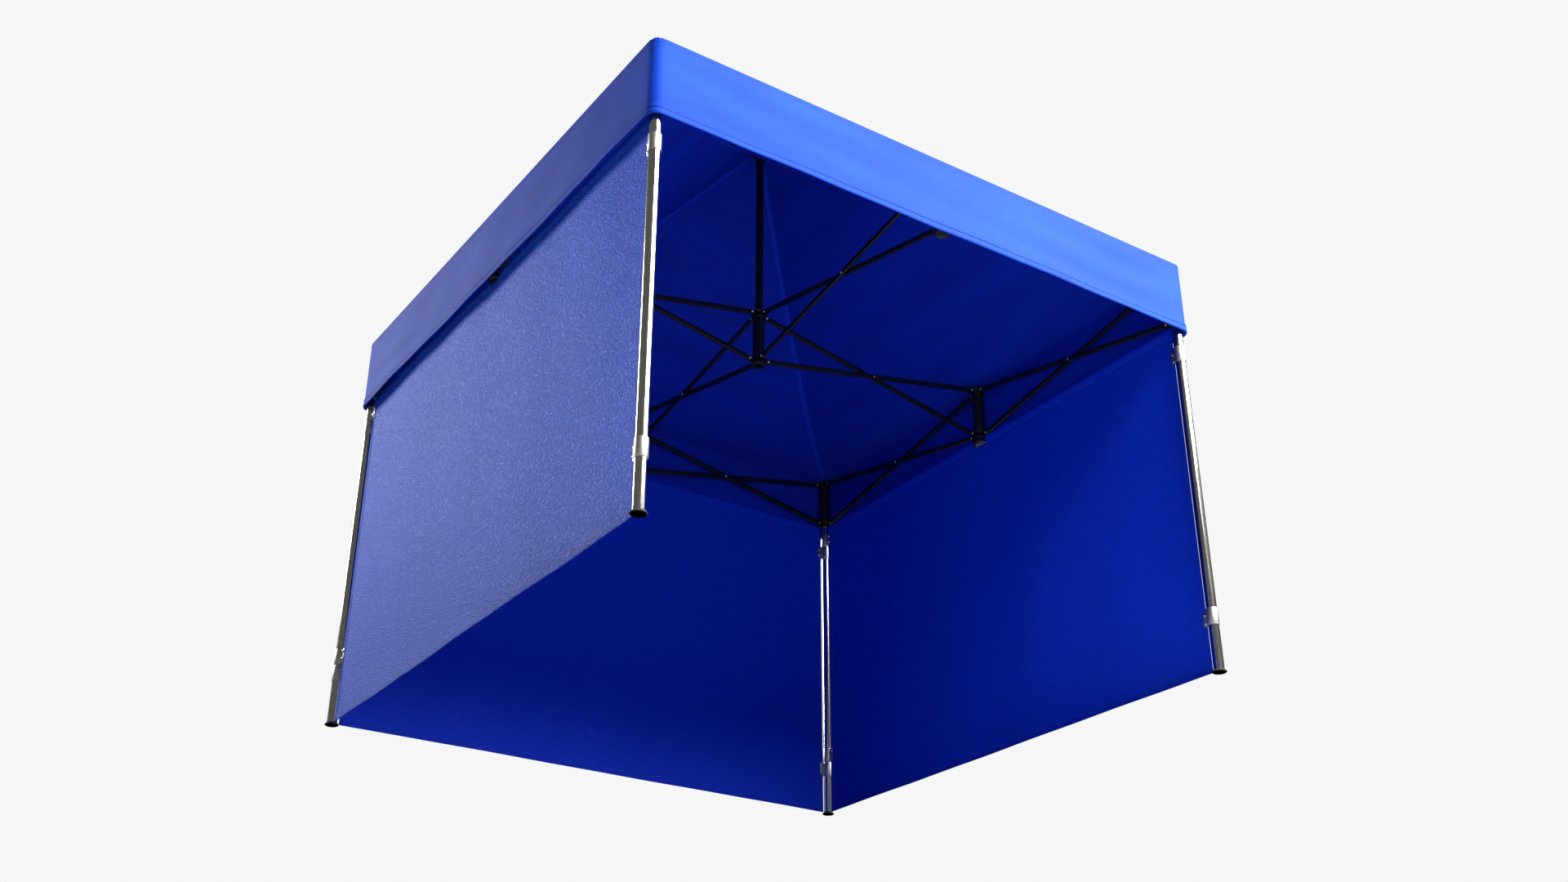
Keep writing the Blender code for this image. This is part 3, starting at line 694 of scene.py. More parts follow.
# %% Legs
def model_leg():
    inner = LEG_RADIUS - 0.0014
    rim = 0.0004
    leg = turned("leg", [(inner, LEG_FOOT), (LEG_RADIUS - rim, LEG_FOOT), (LEG_RADIUS, LEG_FOOT + rim),
                         (LEG_RADIUS, LEG_TOP - rim), (LEG_RADIUS - rim, LEG_TOP), (inner, LEG_TOP)],
                  True, 64)
    drill = rod("drill", 24, 0.0033, 0.04, (0.02, 0.02, LOWER), (0, math.pi / 2, math.pi / 4))
    use(leg, "BOOLEAN", object=drill, operation="DIFFERENCE", solver="EXACT")
    discard(drill)
    return shade(leg, 30)


def model_foot():
    sole, cup_wall = LEG_RADIUS + 0.009, leg_bore + 0.003
    foot = turned("foot", [(0.010, 0.0012), (sole - 0.010, 0.0012), (sole - 0.0085, 0), (sole - 0.0030, 0),
                           (sole, 0.0022), (sole, 0.0050), (sole - 0.0014, 0.0064),
                           (cup_wall + 0.001, 0.0080), (cup_wall, 0.0090), (cup_wall, 0.0112),
                           (cup_wall - 0.0008, 0.0120), (leg_bore, 0.0120), (leg_bore, 0.0060)])
    return shade(foot, 35)


leg, foot = model_leg(), model_foot()
for corner, turns in CORNERS.items():
    place = leg_place(turns, 0)
    fit(copied(leg, "chrome_leg_" + corner, place), chrome, "leg_" + corner, "leg_" + corner)
    fit(copied(foot, "rubber_foot_" + corner, place), rubber, "leg_" + corner, "foot_" + corner)
discard(leg, foot)
print(f"four legs, {2 * LEG_RADIUS * 1000:.0f} mm across")

# %% [markdown]
# ## Centre pole
#
# The pole slides through both centre hubs and lifts the peak of the roof on a round cap.

# %% Pole and cap
POLE_FOOT, POLE_TOP = (corner[2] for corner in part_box("centre_pole"))
pole = turned("black_pole", [(POLE_RADIUS - 0.0015, POLE_FOOT), (POLE_RADIUS, POLE_FOOT),
                             (POLE_RADIUS, POLE_TOP), (POLE_RADIUS - 0.0015, POLE_TOP)], True)
fit(shade(pole, 30), powder_coat, "centre_pole", "centre_pole")
cap_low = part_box("pole_cap")[0][2]
skirt = POLE_RADIUS + GAP + 0.003
dome = turned("round_pole_cap", [
    (POLE_RADIUS + GAP, POLE_TOP + GAP), (POLE_RADIUS + GAP, cap_low), (skirt - 0.0008, cap_low),
    (skirt, cap_low + 0.0008), (skirt, POLE_TOP - 0.022),
    (0.0300, POLE_TOP - 0.018), (0.0320, POLE_TOP - 0.0155), (0.0315, POLE_TOP - 0.0125),
    (0.0256, POLE_TOP - 0.0040), (0.0180, POLE_TOP + 0.0020), (0.0090, POLE_TOP + 0.0054),
    (0.0020, POLE_TOP + 0.0063)])
fit(shade(dome, 40), nylon, "centre_pole", "pole_cap")
print(f"pole from {POLE_FOOT:.3f} to {POLE_TOP:.3f}")

# %% [markdown]
# ## The canopy
#
# The canopy is one continuous sheet: four roof panels that sweep up to the peak, and the valance that
# hangs from their eave. It is drawn up as one ring. A square with rounded corners is extruded down
# for the valance, then up and in for the roof, each step to the height of the sweep. A little
# billow is then added in code, the cloth gets its thickness, and a UV map in metres follows it.

# %% The lines of the cloth
ROOF_SWEEP, PEAK_ROUNDING, CORNER_RADIUS = 1.75, 0.03, 0.05
SHEET = 0.0012


def roof_height(share):
    """The roof's height at a share of the way from the peak, 0, to the eave, 1."""
    soft = np.sqrt(np.square(share) + PEAK_ROUNDING**2) - PEAK_ROUNDING
    soft = soft / (math.sqrt(1 + PEAK_ROUNDING**2) - PEAK_ROUNDING)
    return EAVE + (PEAK - EAVE) * (1 - np.clip(soft, 0, 1)) ** ROOF_SWEEP


def points_of(piece):
    flat = np.zeros(len(piece.data.vertices) * 3)
    piece.data.vertices.foreach_get("co", flat)
    return flat.reshape(-1, 3)


def move_points(piece, points):
    piece.data.vertices.foreach_set("co", points.ravel())
    piece.data.update()


def smooth(values, low, high):
    share = np.clip((values - low) / (high - low), 0, 1)
    return share * share * (3 - 2 * share)


def side_lines(points):
    """For each point: which side it is on (0 right to 3 front), and how far along that side."""
    x, y = points[:, 0], points[:, 1]
    on_x = np.abs(x) >= np.abs(y)
    side = np.where(on_x, np.where(x > 0, 0, 2), np.where(y > 0, 1, 3))
    along = np.choose(side, [y, -x, -y, x])
    return side, along


def share_out(points):
    """How far out each point is, from 0 at the peak to 1 at the valance."""
    return np.maximum(np.abs(points[:, 0]), np.abs(points[:, 1])) / HALF_WIDTH


def share_down(points):
    """How far down the valance each point is, from 0 at the eave to 1 at the hem."""
    return np.clip((EAVE - points[:, 2]) / (EAVE - HEM), 0, 1)


OUTWARD = np.array([(1, 0, 0), (0, 1, 0), (-1, 0, 0), (0, -1, 0)], float)


def billow(points):
    """The soft waves of the valance, and the sag of each roof panel between hips and eave."""
    side, along = side_lines(points)
    z = points[:, 2]
    fade = smooth(HALF_WIDTH - np.abs(along), 0.05, 0.45)
    phase = side * 1.7
    wave = (0.0036 * np.sin(math.tau * (z / 0.17 + 0.42 * along) + phase)
            * (0.7 + 0.3 * np.sin(2.1 * along + phase))
            + 0.0022 * np.sin(math.tau * along / 1.15 + 2.3 * phase)
            + 0.0012 * np.sin(math.tau * (along / 0.47 - z / 0.6) + phase))
    out = smooth(share_down(points), 0, 0.25) * fade * wave
    share = share_out(points)
    across = np.clip(np.abs(along) / np.maximum(share * HALF_WIDTH, 1e-6), 0, 1)
    roof = (z > EAVE + 1e-4) * np.sin(math.pi * np.clip(share, 0, 1)) * (1 - across**2)
    moved = points + OUTWARD[side] * out[:, None]
    moved[:, 2] -= 0.010 * roof
    return moved


# %% Draw the ring up and in
def loop_up(name, profile, cuts=71):
    """Extrudes a square ring with rounded corners through (half width, height) pairs."""
    half, height = profile[0]
    piece = add(name, bpy.ops.mesh.primitive_plane_add, size=2 * half, location=(0, 0, height))
    edit(piece)
    bpy.ops.mesh.bevel(offset=CORNER_RADIUS, segments=6, affect="VERTICES")
    bpy.ops.mesh.delete(type="ONLY_FACE")
    pick(piece, "EDGE", lambda middle, way: max(abs(way.x), abs(way.y)) > 0.9999)
    bpy.ops.mesh.subdivide(number_cuts=cuts)
    bpy.ops.mesh.select_all(action="SELECT")
    for next_half, next_height in profile[1:]:
        half, height = extrude_ring(half, height, next_half, next_height)
    return piece


def outward(piece):
    edit(piece)
    bpy.ops.mesh.remove_doubles(threshold=1e-5)
    bpy.ops.mesh.normals_make_consistent(inside=False)
    deselect()
    return piece


valance = [(HALF_WIDTH, float(z)) for z in np.linspace(HEM, EAVE, 16)]
shares = 1 - (1 - np.linspace(1, 0, 33)[1:-1]) ** 0.9
roof_rings = [(HALF_WIDTH * float(share), float(roof_height(share))) for share in shares if share > 0.02]
canopy = loop_up("canopy_cloth", valance + roof_rings)
bpy.ops.mesh.extrude_region_move()
bpy.ops.transform.translate(value=(0, 0, PEAK - roof_rings[-1][1]))
bpy.ops.mesh.merge(type="CENTER")
outward(canopy)
print("canopy sheet:", len(canopy.data.polygons), "faces in", len(valance) + len(roof_rings), "rings")

# %% Turn the cloth the right way out, billow it and give it a UV map
def two_faced(piece, front, back, thickness, **settings):
    """Thickens a sheet. Its new face, on the inside, shows the back of the cloth, in a back finish that also
    holds painted shade.
    """
    piece.data.materials.append(front)
    piece.data.materials.append(back)
    use(piece, "SOLIDIFY", thickness=thickness, use_even_offset=True, material_offset=1, **settings)


def face_out(piece, away_from=(0, 0, 1.2)):
    """Flips an open sheet if its first face looks towards the inside."""
    face = piece.data.polygons[0]
    if face.normal.dot(Vector(face.center) - Vector(away_from)) < 0:
        edit(piece)
        bpy.ops.mesh.flip_normals()
        deselect()
    return piece


def lay_uv(piece, place):
    """A UV map in metres. place gives (u, v) for points, and the side that their face is on."""
    mesh = piece.data
    layer = mesh.uv_layers.get("cloth") or mesh.uv_layers.new(name="cloth")
    corners = np.zeros(len(mesh.loops), int)
    mesh.loops.foreach_get("vertex_index", corners)
    centres = np.zeros(len(mesh.polygons) * 3)
    mesh.polygons.foreach_get("center", centres)
    counts = np.zeros(len(mesh.polygons), int)
    mesh.polygons.foreach_get("loop_total", counts)
    side = np.repeat(side_lines(centres.reshape(-1, 3))[0], counts)
    layer.data.foreach_set("uv", place(points_of(piece)[corners], side).ravel())
    layer.active_render = True
    mesh.uv_layers.active = layer


def canopy_uv(points, side):
    x, y, z = points.T
    u = np.choose(side, [y, -x, -y, x]) + 3.3 * side
    reach = np.choose(side, [x, y, -x, -y])
    slope = np.hypot(HALF_WIDTH - reach, np.maximum(z - EAVE, 0))
    return np.stack([u, np.where(z > EAVE, EAVE + slope, z)], 1)


face_out(canopy)
move_points(canopy, billow(points_of(canopy)))
two_faced(canopy, canopy_cloth, canopy_back_painted_shade, SHEET, offset=-1)
lay_uv(canopy, canopy_uv)
shade(canopy, 30)
area = sum(face.area for face in canopy.data.polygons) / 2
print(f"canopy cloth: {area:.2f} square metres")

# %% [markdown]
# ### Hem and seams
#
# The bottom of the valance is turned up twice and topstitched in two rows, so it stands proud in two
# soft rolls with a groove at each row. The hem is one closed strip round the gazebo that holds the
# sheet's edge inside it. The roof panels meet in felled seams along the hips.

# %% Hem of the valance
HEM_ROWS = (0.027, 0.048)


def hem_profile():
    """The hem's section, outside upwards and then inside downwards: (out from the sheet, height)."""
    outer = [(0.0008, 0.0), (0.0026, 0.002), (0.0038, 0.008), (0.0038, 0.018), (0.0026, 0.0245),
             (0.0004, 0.027), (0.0024, 0.0295), (0.0032, 0.037), (0.0024, 0.0445), (0.0003, 0.0478),
             (0.0001, 0.0500)]
    inner = [(-SHEET - out * 0.8, height) for out, height in reversed(outer)]
    return [(HALF_WIDTH + out, HEM + height) for out, height in outer + inner]


profile = hem_profile()
hem = outward(loop_up("canopy_hem", profile + profile[:1]))
move_points(hem, billow(points_of(hem)))
lay_uv(hem, canopy_uv)
shade(hem, 60)
print("hem:", len(hem.data.polygons), "faces")

# %% Seams along the hips
def hip_strip(name, lift, width, rise):
    """A band along all four hips that follows the roof. lift is its height over the sheet's face."""
    bands = []
    rows, cols = 72, 8
    for turns in range(4):
        band = add("band", bpy.ops.mesh.primitive_grid_add, x_subdivisions=rows, y_subdivisions=cols,
                   size=2)
        grid = points_of(band)
        share = 1 - (grid[:, 0] + 1) / 2 * 0.965
        side = grid[:, 1] * width / 2
        reach = share * (HALF_WIDTH - CORNER_RADIUS * (1 - math.sqrt(0.5)))
        x = reach + side * math.sqrt(0.5)
        y = reach - side * math.sqrt(0.5)
        drop = np.abs(side) * math.sqrt(0.5)
        step = 1e-4
        slope = (roof_height(share) - roof_height(share + step)) / (step * HALF_WIDTH)
        z = roof_height(share) - slope * np.maximum(drop - CORNER_RADIUS * share * 0.4, 0)
        puff = rise * np.clip(1 - grid[:, 1] ** 2, 0, 1) ** 0.5
        move_points(band, billow(np.stack([x, y, z + lift + puff], 1)))
        band.data.transform(quarter(turns))
        bands.append(band)
    strip = face_out(joined(name, bands))
    use(strip, "SOLIDIFY", thickness=0.0008, offset=0)
    lay_uv(strip, canopy_uv)
    return shade(strip, 40)


hip_seams = hip_strip("canopy_hip_seams", 0.0006, 0.022, 0.0012)
hip_tapes = hip_strip("canopy_hip_tapes", -SHEET - 0.0016, 0.026, -0.0006)
print("hip seams:", len(hip_seams.data.polygons), "faces outside,",
      len(hip_tapes.data.polygons), "inside")

# %% [markdown]
# ### Stitches
#
# One stitch is a small ball drawn out along the seam, with 24 faces. Real stitches are 3 mm long, so
# these are drawn three times as long, just enough to show. Each row of stitches follows points along
# the cloth with the direction of the row and the way that the cloth faces.

# %% Sew a row of stitches
STITCH_PITCH, STITCH_LENGTH, STITCH_WIDTH = 0.010, 0.0078, 0.0021
stitch = add("stitch", bpy.ops.mesh.primitive_uv_sphere_add, segments=6, ring_count=4, radius=0.5,
             scale=(STITCH_LENGTH, STITCH_WIDTH, STITCH_WIDTH * 0.8))
STITCH_POINTS = points_of(stitch)
STITCH_FACES = [list(face.vertices) for face in stitch.data.polygons]
discard(stitch)


def sewn(name, rows):
    """One mesh with a stitch at each (point, direction, outward) of the rows."""
    places, ways, outs = (np.concatenate([row[i] for row in rows]) for i in range(3))
    ways = ways / np.linalg.norm(ways, axis=1, keepdims=True)
    across = np.cross(outs, ways)
    across = across / np.linalg.norm(across, axis=1, keepdims=True)
    axes = np.stack([ways, across, np.cross(ways, across)], 1)
    points = places[:, None, :] + np.einsum("vk,nkj->nvj", STITCH_POINTS, axes)
    count, size = len(places), len(STITCH_POINTS)
    faces = [[vert + size * i for vert in face] for i in range(count) for face in STITCH_FACES]
    mesh = bpy.data.meshes.new(name)
    mesh.from_pydata(points.reshape(-1, 3).tolist(), [], faces)
    piece = bpy.data.objects.new(name, mesh)
    bpy.context.scene.collection.objects.link(piece)
    return shade(piece, 60)


def row_round(half, height, out):
    """A row of stitches round the valance, off the corners' roundings."""
    rows = []
    reach = half - CORNER_RADIUS - 0.004
    along = np.arange(-reach, reach, STITCH_PITCH)
    for turns in range(4):
        flat = np.stack([np.full_like(along, half), along, np.full_like(along, height)], 1)
        turn = np.array(quarter(turns).to_3x3())
        points = flat @ turn.T
        ways = np.tile(turn @ (0, 1, 0), (len(along), 1))
        outs = np.tile(turn @ (out, 0, 0), (len(along), 1))
        rows.append((billow(points), ways, outs))
        angles = np.arange(0.5, 8) / 8 * math.pi / 2
        centre_at = half - CORNER_RADIUS
        bend = np.stack([centre_at + CORNER_RADIUS * np.cos(angles),
                         centre_at + CORNER_RADIUS * np.sin(angles), np.full_like(angles, height)], 1)
        bend_way = np.stack([-np.sin(angles), np.cos(angles), 0 * angles], 1)
        bend_out = np.stack([np.cos(angles), np.sin(angles), 0 * angles], 1) * out
        rows.append((bend @ turn.T, bend_way @ turn.T, bend_out @ turn.T))
    return rows


hem_rows = [row for height in HEM_ROWS for row in row_round(HALF_WIDTH + 0.0009, HEM + height, 1)]
hem_rows += [row for height in HEM_ROWS for row in row_round(HALF_WIDTH - SHEET - 0.0008, HEM + height, -1)]
hem_stitches = sewn("canopy_hem_stitches", hem_rows)
eave_stitches = sewn("canopy_eave_stitches", row_round(HALF_WIDTH + 0.0002, EAVE - 0.018, 1))
print("hem stitches:", len(hem_stitches.data.polygons), "faces")

# %% [markdown]
# ## Walls
#
# Each wall is a plain panel hung between two legs, right under the bars, with a notch in its top edge
# for the cap of the hub in the middle. Its edges are turned in. A grid gives the sheet, whose cells
# are as wide as the hem. The hem is a copy of the outer cells, thickened so that it holds the sheet's
# edge inside it.

# %% One wall, facing +X
wall_low, wall_high = (corner[2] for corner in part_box("wall_left"))
WALL_NOTCH, WALL_REACH, WALL_HEM = LOWER - 0.065, LEG_AXIS - LEG_RADIUS - 0.010, 0.030
NOTCH_HALF, STITCH_INSET, HEM_THICKNESS = 0.045, 0.024, 0.0036


def drape(points, seed):
    """The slight waves of a hung wall, none at its four held corners."""
    y, z = points[:, 1], points[:, 2]
    hold = np.clip(1 - np.abs(y) / WALL_REACH, 0, 1)
    wave = (0.0040 * np.sin(math.tau * y / 1.9 + seed) * np.sin(math.tau * z / 2.6 + 1.1 * seed)
            + 0.0016 * np.sin(math.tau * (y / 0.62 + 0.25 * z) + 2.0 * seed)
            + 0.0010 * np.sin(math.tau * (z / 0.35 + 0.4 * y) + seed))
    moved = points.copy()
    moved[:, 0] += smooth(hold, 0, 0.25) * wave
    return moved


def model_wall(side, seed):
    turns = SIDES[side]
    low, high = wall_low, wall_high
    across = np.concatenate([np.linspace(-WALL_REACH, -NOTCH_HALF, 46), (-0.015, 0.015),
                             np.linspace(NOTCH_HALF, WALL_REACH, 46)])
    up = np.concatenate([np.linspace(low, WALL_NOTCH, 57), (high - 0.010, high)])
    sheet = add("wall_cloth_" + side, bpy.ops.mesh.primitive_grid_add, x_subdivisions=len(across) - 1,
                y_subdivisions=len(up) - 1, size=2)
    grid = points_of(sheet)
    column = np.rint((grid[:, 0] + 1) / 2 * (len(across) - 1)).astype(int)
    row = np.rint((grid[:, 1] + 1) / 2 * (len(up) - 1)).astype(int)
    move_points(sheet, np.stack([np.full(len(grid), LEG_AXIS), across[column], up[row]], 1))
    edit(sheet)
    pick(sheet, "FACE", lambda middle, way: abs(middle.y) < NOTCH_HALF and middle.z > WALL_NOTCH)
    bpy.ops.mesh.delete(type="FACE")
    deselect()
    face_out(sheet)
    hem = copied(sheet, f"wall_hem_{side}", Matrix.Identity(4))
    edit(hem)
    pick(hem, "FACE", lambda middle, way: NOTCH_HALF + WALL_HEM < abs(middle.y) < WALL_REACH - WALL_HEM
         and low + WALL_HEM < middle.z < WALL_NOTCH or abs(middle.y) <= NOTCH_HALF + WALL_HEM
         and low + WALL_HEM < middle.z < WALL_NOTCH - WALL_HEM)
    bpy.ops.mesh.delete(type="FACE")
    two_faced(sheet, wall_cloth, wall_back_painted_shade, SHEET, offset=0)
    two_faced(hem, wall_cloth, wall_back_painted_shade, HEM_THICKNESS, offset=0)
    soften_edges(hem, 0.0014, 2, 60)
    rows = []
    reach = WALL_REACH - STITCH_INSET
    for out in (1, -1):
        x = LEG_AXIS + out * HEM_THICKNESS / 2
        y = np.arange(-WALL_REACH + STITCH_INSET, reach, STITCH_PITCH)
        z = np.arange(low + STITCH_INSET, high - STITCH_INSET, STITCH_PITCH)
        lines = [((x, y, height), (0, 1, 0))
                 for height in (low + STITCH_INSET, WALL_NOTCH - STITCH_INSET)]
        lines += [((x, end, z), (0, 0, 1)) for end in (-reach, reach)]
        for line, way in lines:
            points = np.stack(np.broadcast_arrays(*line), 1).astype(float)
            rows.append((points, *(np.tile(axis, (len(points), 1)).astype(float)
                                   for axis in (way, (out, 0, 0)))))
    stitches = sewn(f"wall_stitches_{side}", rows)
    for piece in (sheet, hem, stitches):
        move_points(piece, drape(points_of(piece), seed))
        if piece is not stitches:
            lay_uv(piece, lambda points, _: points[:, 1:] + (7.0 * turns, 0))
        shade(piece, 50)
        piece.data.transform(quarter(turns))
    return sheet, hem, stitches


walls = {side: model_wall(side, seed) for side, seed in (("right", 0.4), ("back", 2.2), ("left", 4.1))}
print("walls:", {side: len(parts[0].data.polygons) for side, parts in walls.items()})

# %% [markdown]
# ## Clamps
#
# A wall is held at each corner by a clamp: a steel band round the leg, whose two wings grip the cloth
# between them with two bolts. The upper clamps slide down the leg when the frame folds, so they
# ride on the sliders, and the lower ones stay on the legs.

# %% One clamp, at the +Y end of a wall that faces +X
CLAMP_HALF, BAND_RADIUS = 0.039, leg_bore + 0.0027
WING_ROOT, WING_END, WING_BOLT = 0.0252, 0.053, -0.0415


def model_clamp():
    band = turned("band", [(leg_bore, -CLAMP_HALF), (BAND_RADIUS, -CLAMP_HALF), (BAND_RADIUS, CLAMP_HALF),
                           (leg_bore, CLAMP_HALF)], True, 64)
    soften_edges(band, 0.0005, 2)
    wings, bolts = [], []
    for out in (1, -1):
        wing = block("wing", (out * 0.0030, -(WING_ROOT + WING_END) / 2, 0),
                     (0.0022, WING_END - WING_ROOT, 2 * CLAMP_HALF - 0.008))
        edit(wing)
        pick(wing, "EDGE", lambda middle, way: abs(way.x) > 0.9 and middle.y < -0.03)
        bpy.ops.mesh.bevel(offset=0.009, segments=5, affect="EDGES")
        soften_edges(wing, 0.0005, 2)
        wings.append(wing)
        for height in (-0.019, 0.019):
            for name, sides, radius, depth, x in (("head", 6, 0.0068, 0.0036, 0.0064),
                                                  ("washer", 24, 0.0084, 0.0010, 0.0046),
                                                  ("tip", 16, 0.0032, 0.0080, 0.0076)):
                part = rod(name, sides, radius, depth, (out * x, WING_BOLT, height),
                           (0, math.pi / 2, 0))
                if name != "washer":
                    soften_edges(part, 0.0006, 2, 25)
                bolts.append(part)
    return shade(joined("clamp", [band, *wings]), 35), shade(joined("clamp_bolts", bolts), 30)


clamp, clamp_bolts = model_clamp()
LOW_CLAMP, HIGH_CLAMP, CLAMP_STACK = 0.257, wall_high - 0.165, 0.082
raised = {"right": (1,), "left": (-1,), "back": ()}
for side in walls:
    for end in (1, -1):
        corner = corner_of(side, end)[0]
        for word, height, body in (("low", LOW_CLAMP, "leg_"), ("high", HIGH_CLAMP, "slider_")):
            height += CLAMP_STACK if end in raised[side] else 0
            half_turn = Matrix.Rotation(0 if end > 0 else math.pi, 4, "X")
            place = quarter(SIDES[side]) @ at(LEG_AXIS, end * LEG_AXIS, height) @ half_turn
            name = f"clamp_{word}_{side}_{corner}"
            fit(copied(clamp, name, place), stainless, body + corner, "wall_" + side)
            fit(copied(clamp_bolts, name + "_bolts", place), zinc, body + corner)
discard(clamp, clamp_bolts)
print("twelve clamps set")

# %% [markdown]
# ## Cloth that follows the frame
#
# The frame folds, and the cloth has to gather with it. Hook modifiers do this: each one moves the
# points of the cloth with one body of the frame, by a weight for each point. At rest they move
# nothing. The canopy shares its weights between the four legs and the pole. A wall shares them
# between its two legs and their sliders, and its last 30 mm move with the leg as they are. A hook on
# the opposite side's hub, weighted by a sine, pushes the slack out in pleats. It also pushes the top
# of each wall out past the cap of the middle hub. The length of the cloth is not kept in the fold.

# %% Hooks
PLEAT = 0.30  # from one pleat to the next on the open cloth
FOLDED = 0.155  # the folded canopy's width as a share of the open one's
CAP_KEEP = 0.040  # the cloth within this reach of the pole stays clear of its cap


def hook(piece, body, weights):
    group = piece.vertex_groups.new(name="with_" + body)
    for index in np.flatnonzero(weights > 1e-4):
        group.add([int(index)], float(weights[index]), "REPLACE")
    modifier = piece.modifiers.new("follow_" + body, "HOOK")
    modifier.object = frame["bodies"][body]
    modifier.vertex_group = group.name
    modifier.falloff_type = "NONE"
    modifier.matrix_inverse = Matrix.Identity(4)


def corner_weights(points):
    x = np.clip(points[:, 0] / LEG_AXIS, -1, 1)
    y = np.clip(points[:, 1] / LEG_AXIS, -1, 1)
    for corner, turns in CORNERS.items():
        sign_x, sign_y = (-1, 1, 1, -1)[turns], (-1, -1, 1, 1)[turns]
        yield corner, (1 + sign_x * x) / 2 * (1 + sign_y * y) / 2


OPPOSITE = {0: "left", 1: "front", 2: "right", 3: "back"}


def follow_with_canopy(piece):
    points = points_of(piece)
    side, along = side_lines(points)
    share = share_out(points)
    keep = CAP_KEEP + (FOLDED * HALF_WIDTH - CAP_KEEP) * np.clip((share - 0.027) / 0.973, 0, 1)
    draw_in = np.clip((1 - keep / np.maximum(share * HALF_WIDTH, CAP_KEEP)) / (1 - FOLDED), 0, 1)
    for corner, weights in corner_weights(points):
        hook(piece, "leg_" + corner, weights * draw_in)
    hook(piece, "centre_pole", np.clip((points[:, 2] - EAVE) / (PEAK - EAVE), 0, 1))
    deep = np.clip(share, 0, 1) ** 2 * (0.7 + 0.3 * share_down(points))
    ends = smooth(HALF_WIDTH - np.abs(along), 0.05, 0.16)
    pleat = 0.055 * deep * ends * (0.5 + 0.5 * np.sin(math.tau * along / PLEAT))
    for number, opposite in OPPOSITE.items():
        hook(piece, "mid_upper_hub_" + opposite, pleat * (side == number))


def follow_with_wall(piece, side):
    points = points_of(piece)
    height = np.clip((points[:, 2] - wall_low) / (wall_high - wall_low), 0, 1)
    along = side_lines(points)[1]
    share = np.clip(along / (WALL_REACH - WALL_HEM), -1, 1)
    for end in (1, -1):
        corner = corner_of(side, end)[0]
        weights = (1 + end * share) / 2
        hook(piece, "leg_" + corner, weights * (1 - height))
        hook(piece, "slider_" + corner, weights * height)
    ends = smooth(WALL_REACH - np.abs(along), 0.03, 0.20)
    sway = 2.2 * np.sin(math.tau * points[:, 2] / 0.9)
    ripple = 0.5 + 0.5 * np.sin(math.tau * along / PLEAT + sway)
    past_cap = ((1 - smooth(np.abs(along), 0.34, 0.60))
                * smooth(points[:, 2], wall_high - 0.34, wall_high - 0.12))
    hook(piece, "mid_upper_hub_" + OPPOSITE[SIDES[side]], 0.05 * ends * (ripple + past_cap))


# %% Fit the cloth to its bodies
cloth_pieces = ((canopy, canopy_cloth), (hem, canopy_cloth), (hip_seams, canopy_cloth),
                (hip_tapes, seam_tape), (hem_stitches, thread), (eave_stitches, blue_thread))
for piece, material in cloth_pieces:
    fit(piece, material, "root")
    follow_with_canopy(piece)
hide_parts("canopy")
for side, (sheet, wall_hem, stitches) in walls.items():
    for piece, material in ((sheet, wall_cloth), (wall_hem, wall_cloth), (stitches, thread)):
        fit(piece, material, "root")
        follow_with_wall(piece, side)
    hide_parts("wall_" + side)
print("cloth fitted:", len(cloth_pieces) + 9, "pieces")

# %% [markdown]
# ## Studio
#
# A plain pale floor with soft light. The camera looks up from below the floor's level, so the floor
# shows on its upper face only. The sky is nearly white to the camera and dimmer as a light. One
# large soft light stands high before the open front, and a weaker one stands behind on the left.

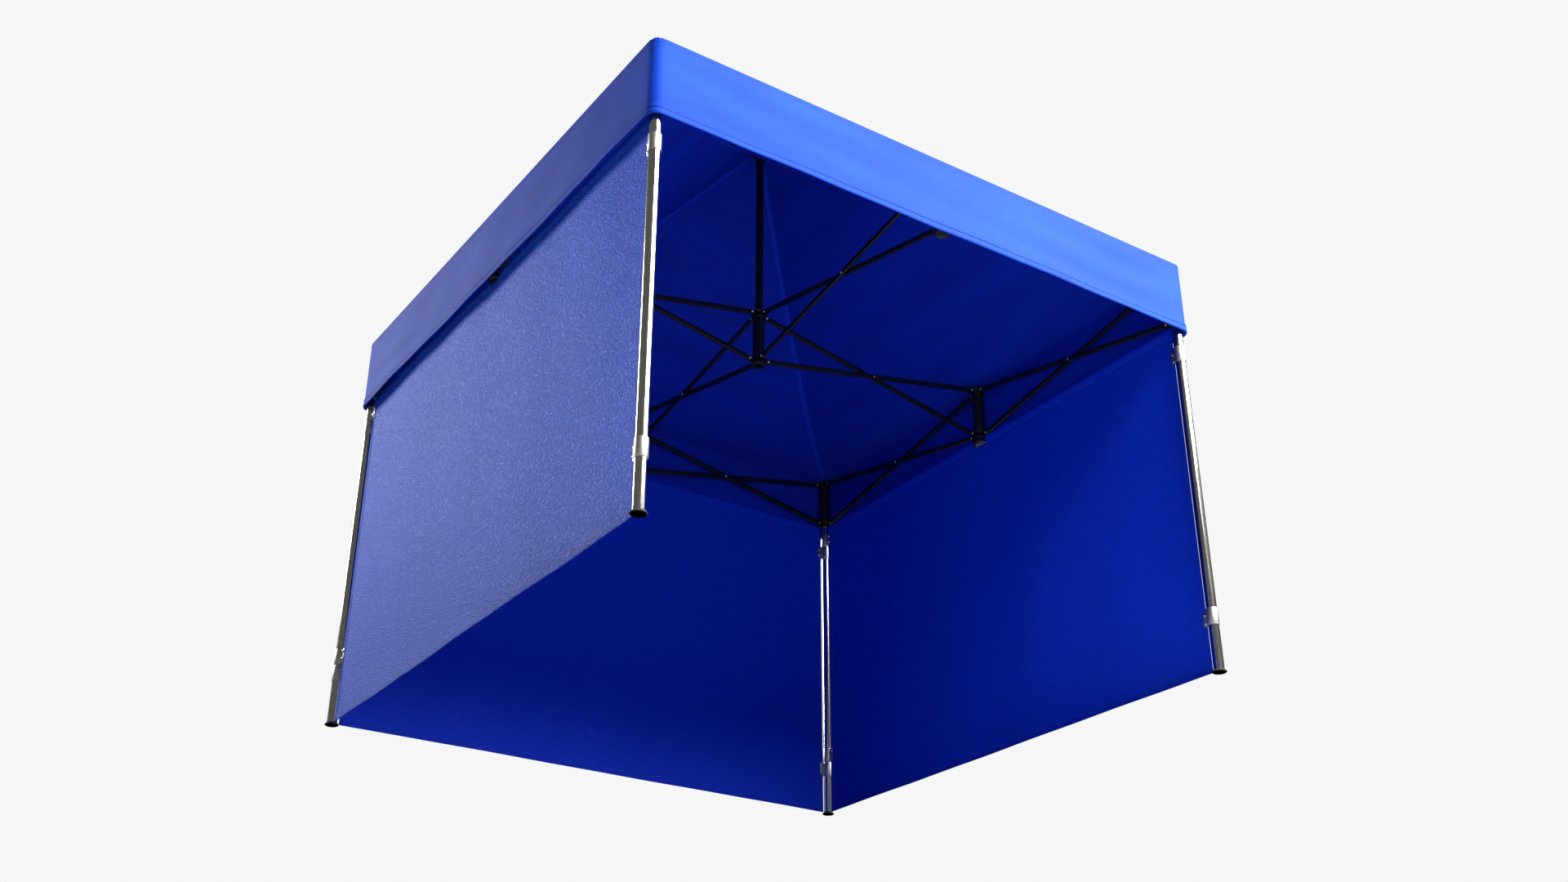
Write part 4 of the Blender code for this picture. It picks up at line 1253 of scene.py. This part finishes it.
# %% Floor
floor = add("studio_floor", bpy.ops.mesh.primitive_plane_add, size=60)
material, tree, shader = new_finish("pale_floor", Roughness=0.9)
seen = node(tree, "ShaderNodeLightPath")
grain = noise(tree, mapped(tree, (3, 3, 3)), 2)
pale = blend_colours(tree, grain.outputs[0], "8A8A89", "909090")
plug(tree, pale, shader, "Base Color")
shader.inputs["Emission Color"].default_value = colour("CFCFCF")
shader.inputs["Emission Strength"].default_value = 1.0
dim = node(tree, "ShaderNodeBsdfDiffuse", {"Color": colour("9A9A9A")})
by_ray = node(tree, "ShaderNodeMixShader",
              {0: seen.outputs["Is Camera Ray"], 1: dim.outputs[0], 2: shader.outputs[0]})
clear = node(tree, "ShaderNodeBsdfTransparent")
side_seen = node(tree, "ShaderNodeNewGeometry")
one_sided = node(tree, "ShaderNodeMixShader",
                 {0: side_seen.outputs["Backfacing"], 1: by_ray.outputs[0], 2: clear.outputs[0]})
plug(tree, one_sided, tree.nodes["Material Output"], "Surface")
floor.data.materials.append(material)

# %% Sky
world = bpy.data.worlds.new("studio")
bpy.context.scene.world = world
world.use_nodes = True
tree = world.node_tree
tree.nodes.clear()
seen = node(tree, "ShaderNodeLightPath")
white = node(tree, "ShaderNodeBackground", {"Color": colour("F6F6F6"), "Strength": 1.0})
dome_light = node(tree, "ShaderNodeBackground", {"Color": colour("63615D"), "Strength": 1.0})
chosen = node(tree, "ShaderNodeMixShader",
              {0: seen.outputs["Is Camera Ray"], 1: dome_light.outputs[0], 2: white.outputs[0]})
node(tree, "ShaderNodeOutputWorld", {"Surface": chosen.outputs[0]})


# %% Lights
def soft_light(name, place, target, size, watts):
    data = bpy.data.lights.new(name, "AREA")
    data.shape, data.size, data.size_y = "RECTANGLE", *size
    data.energy = watts
    light = bpy.data.objects.new(name, data)
    bpy.context.scene.collection.objects.link(light)
    light.location = place
    light.rotation_euler = (Vector(target) - Vector(place)).to_track_quat("-Z", "Y").to_euler()


soft_light("key", (3.5, -8.0, 7.0), (0, -1.5, 1.9), (10.0, 3.5), 4300)
soft_light("left_fill", (-6.0, 8.8, 6.0), (-1.5, 0, 1.0), (1.6, 4.0), 1000)
bpy.context.scene.view_settings.view_transform = "Standard"
print("two soft lights")

# %% Camera
camera = bpy.data.objects.new("camera", bpy.data.cameras.new("camera"))
bpy.context.scene.collection.objects.link(camera)
camera.location = (-4.0023, -6.0637, -2.4097)
camera.rotation_euler = (math.radians(90 + 27.217), 0, -math.radians(34.436))
camera.data.lens = 38.145
camera.data.sensor_width = 36
camera.data.clip_end = 200
bpy.context.scene.camera = camera
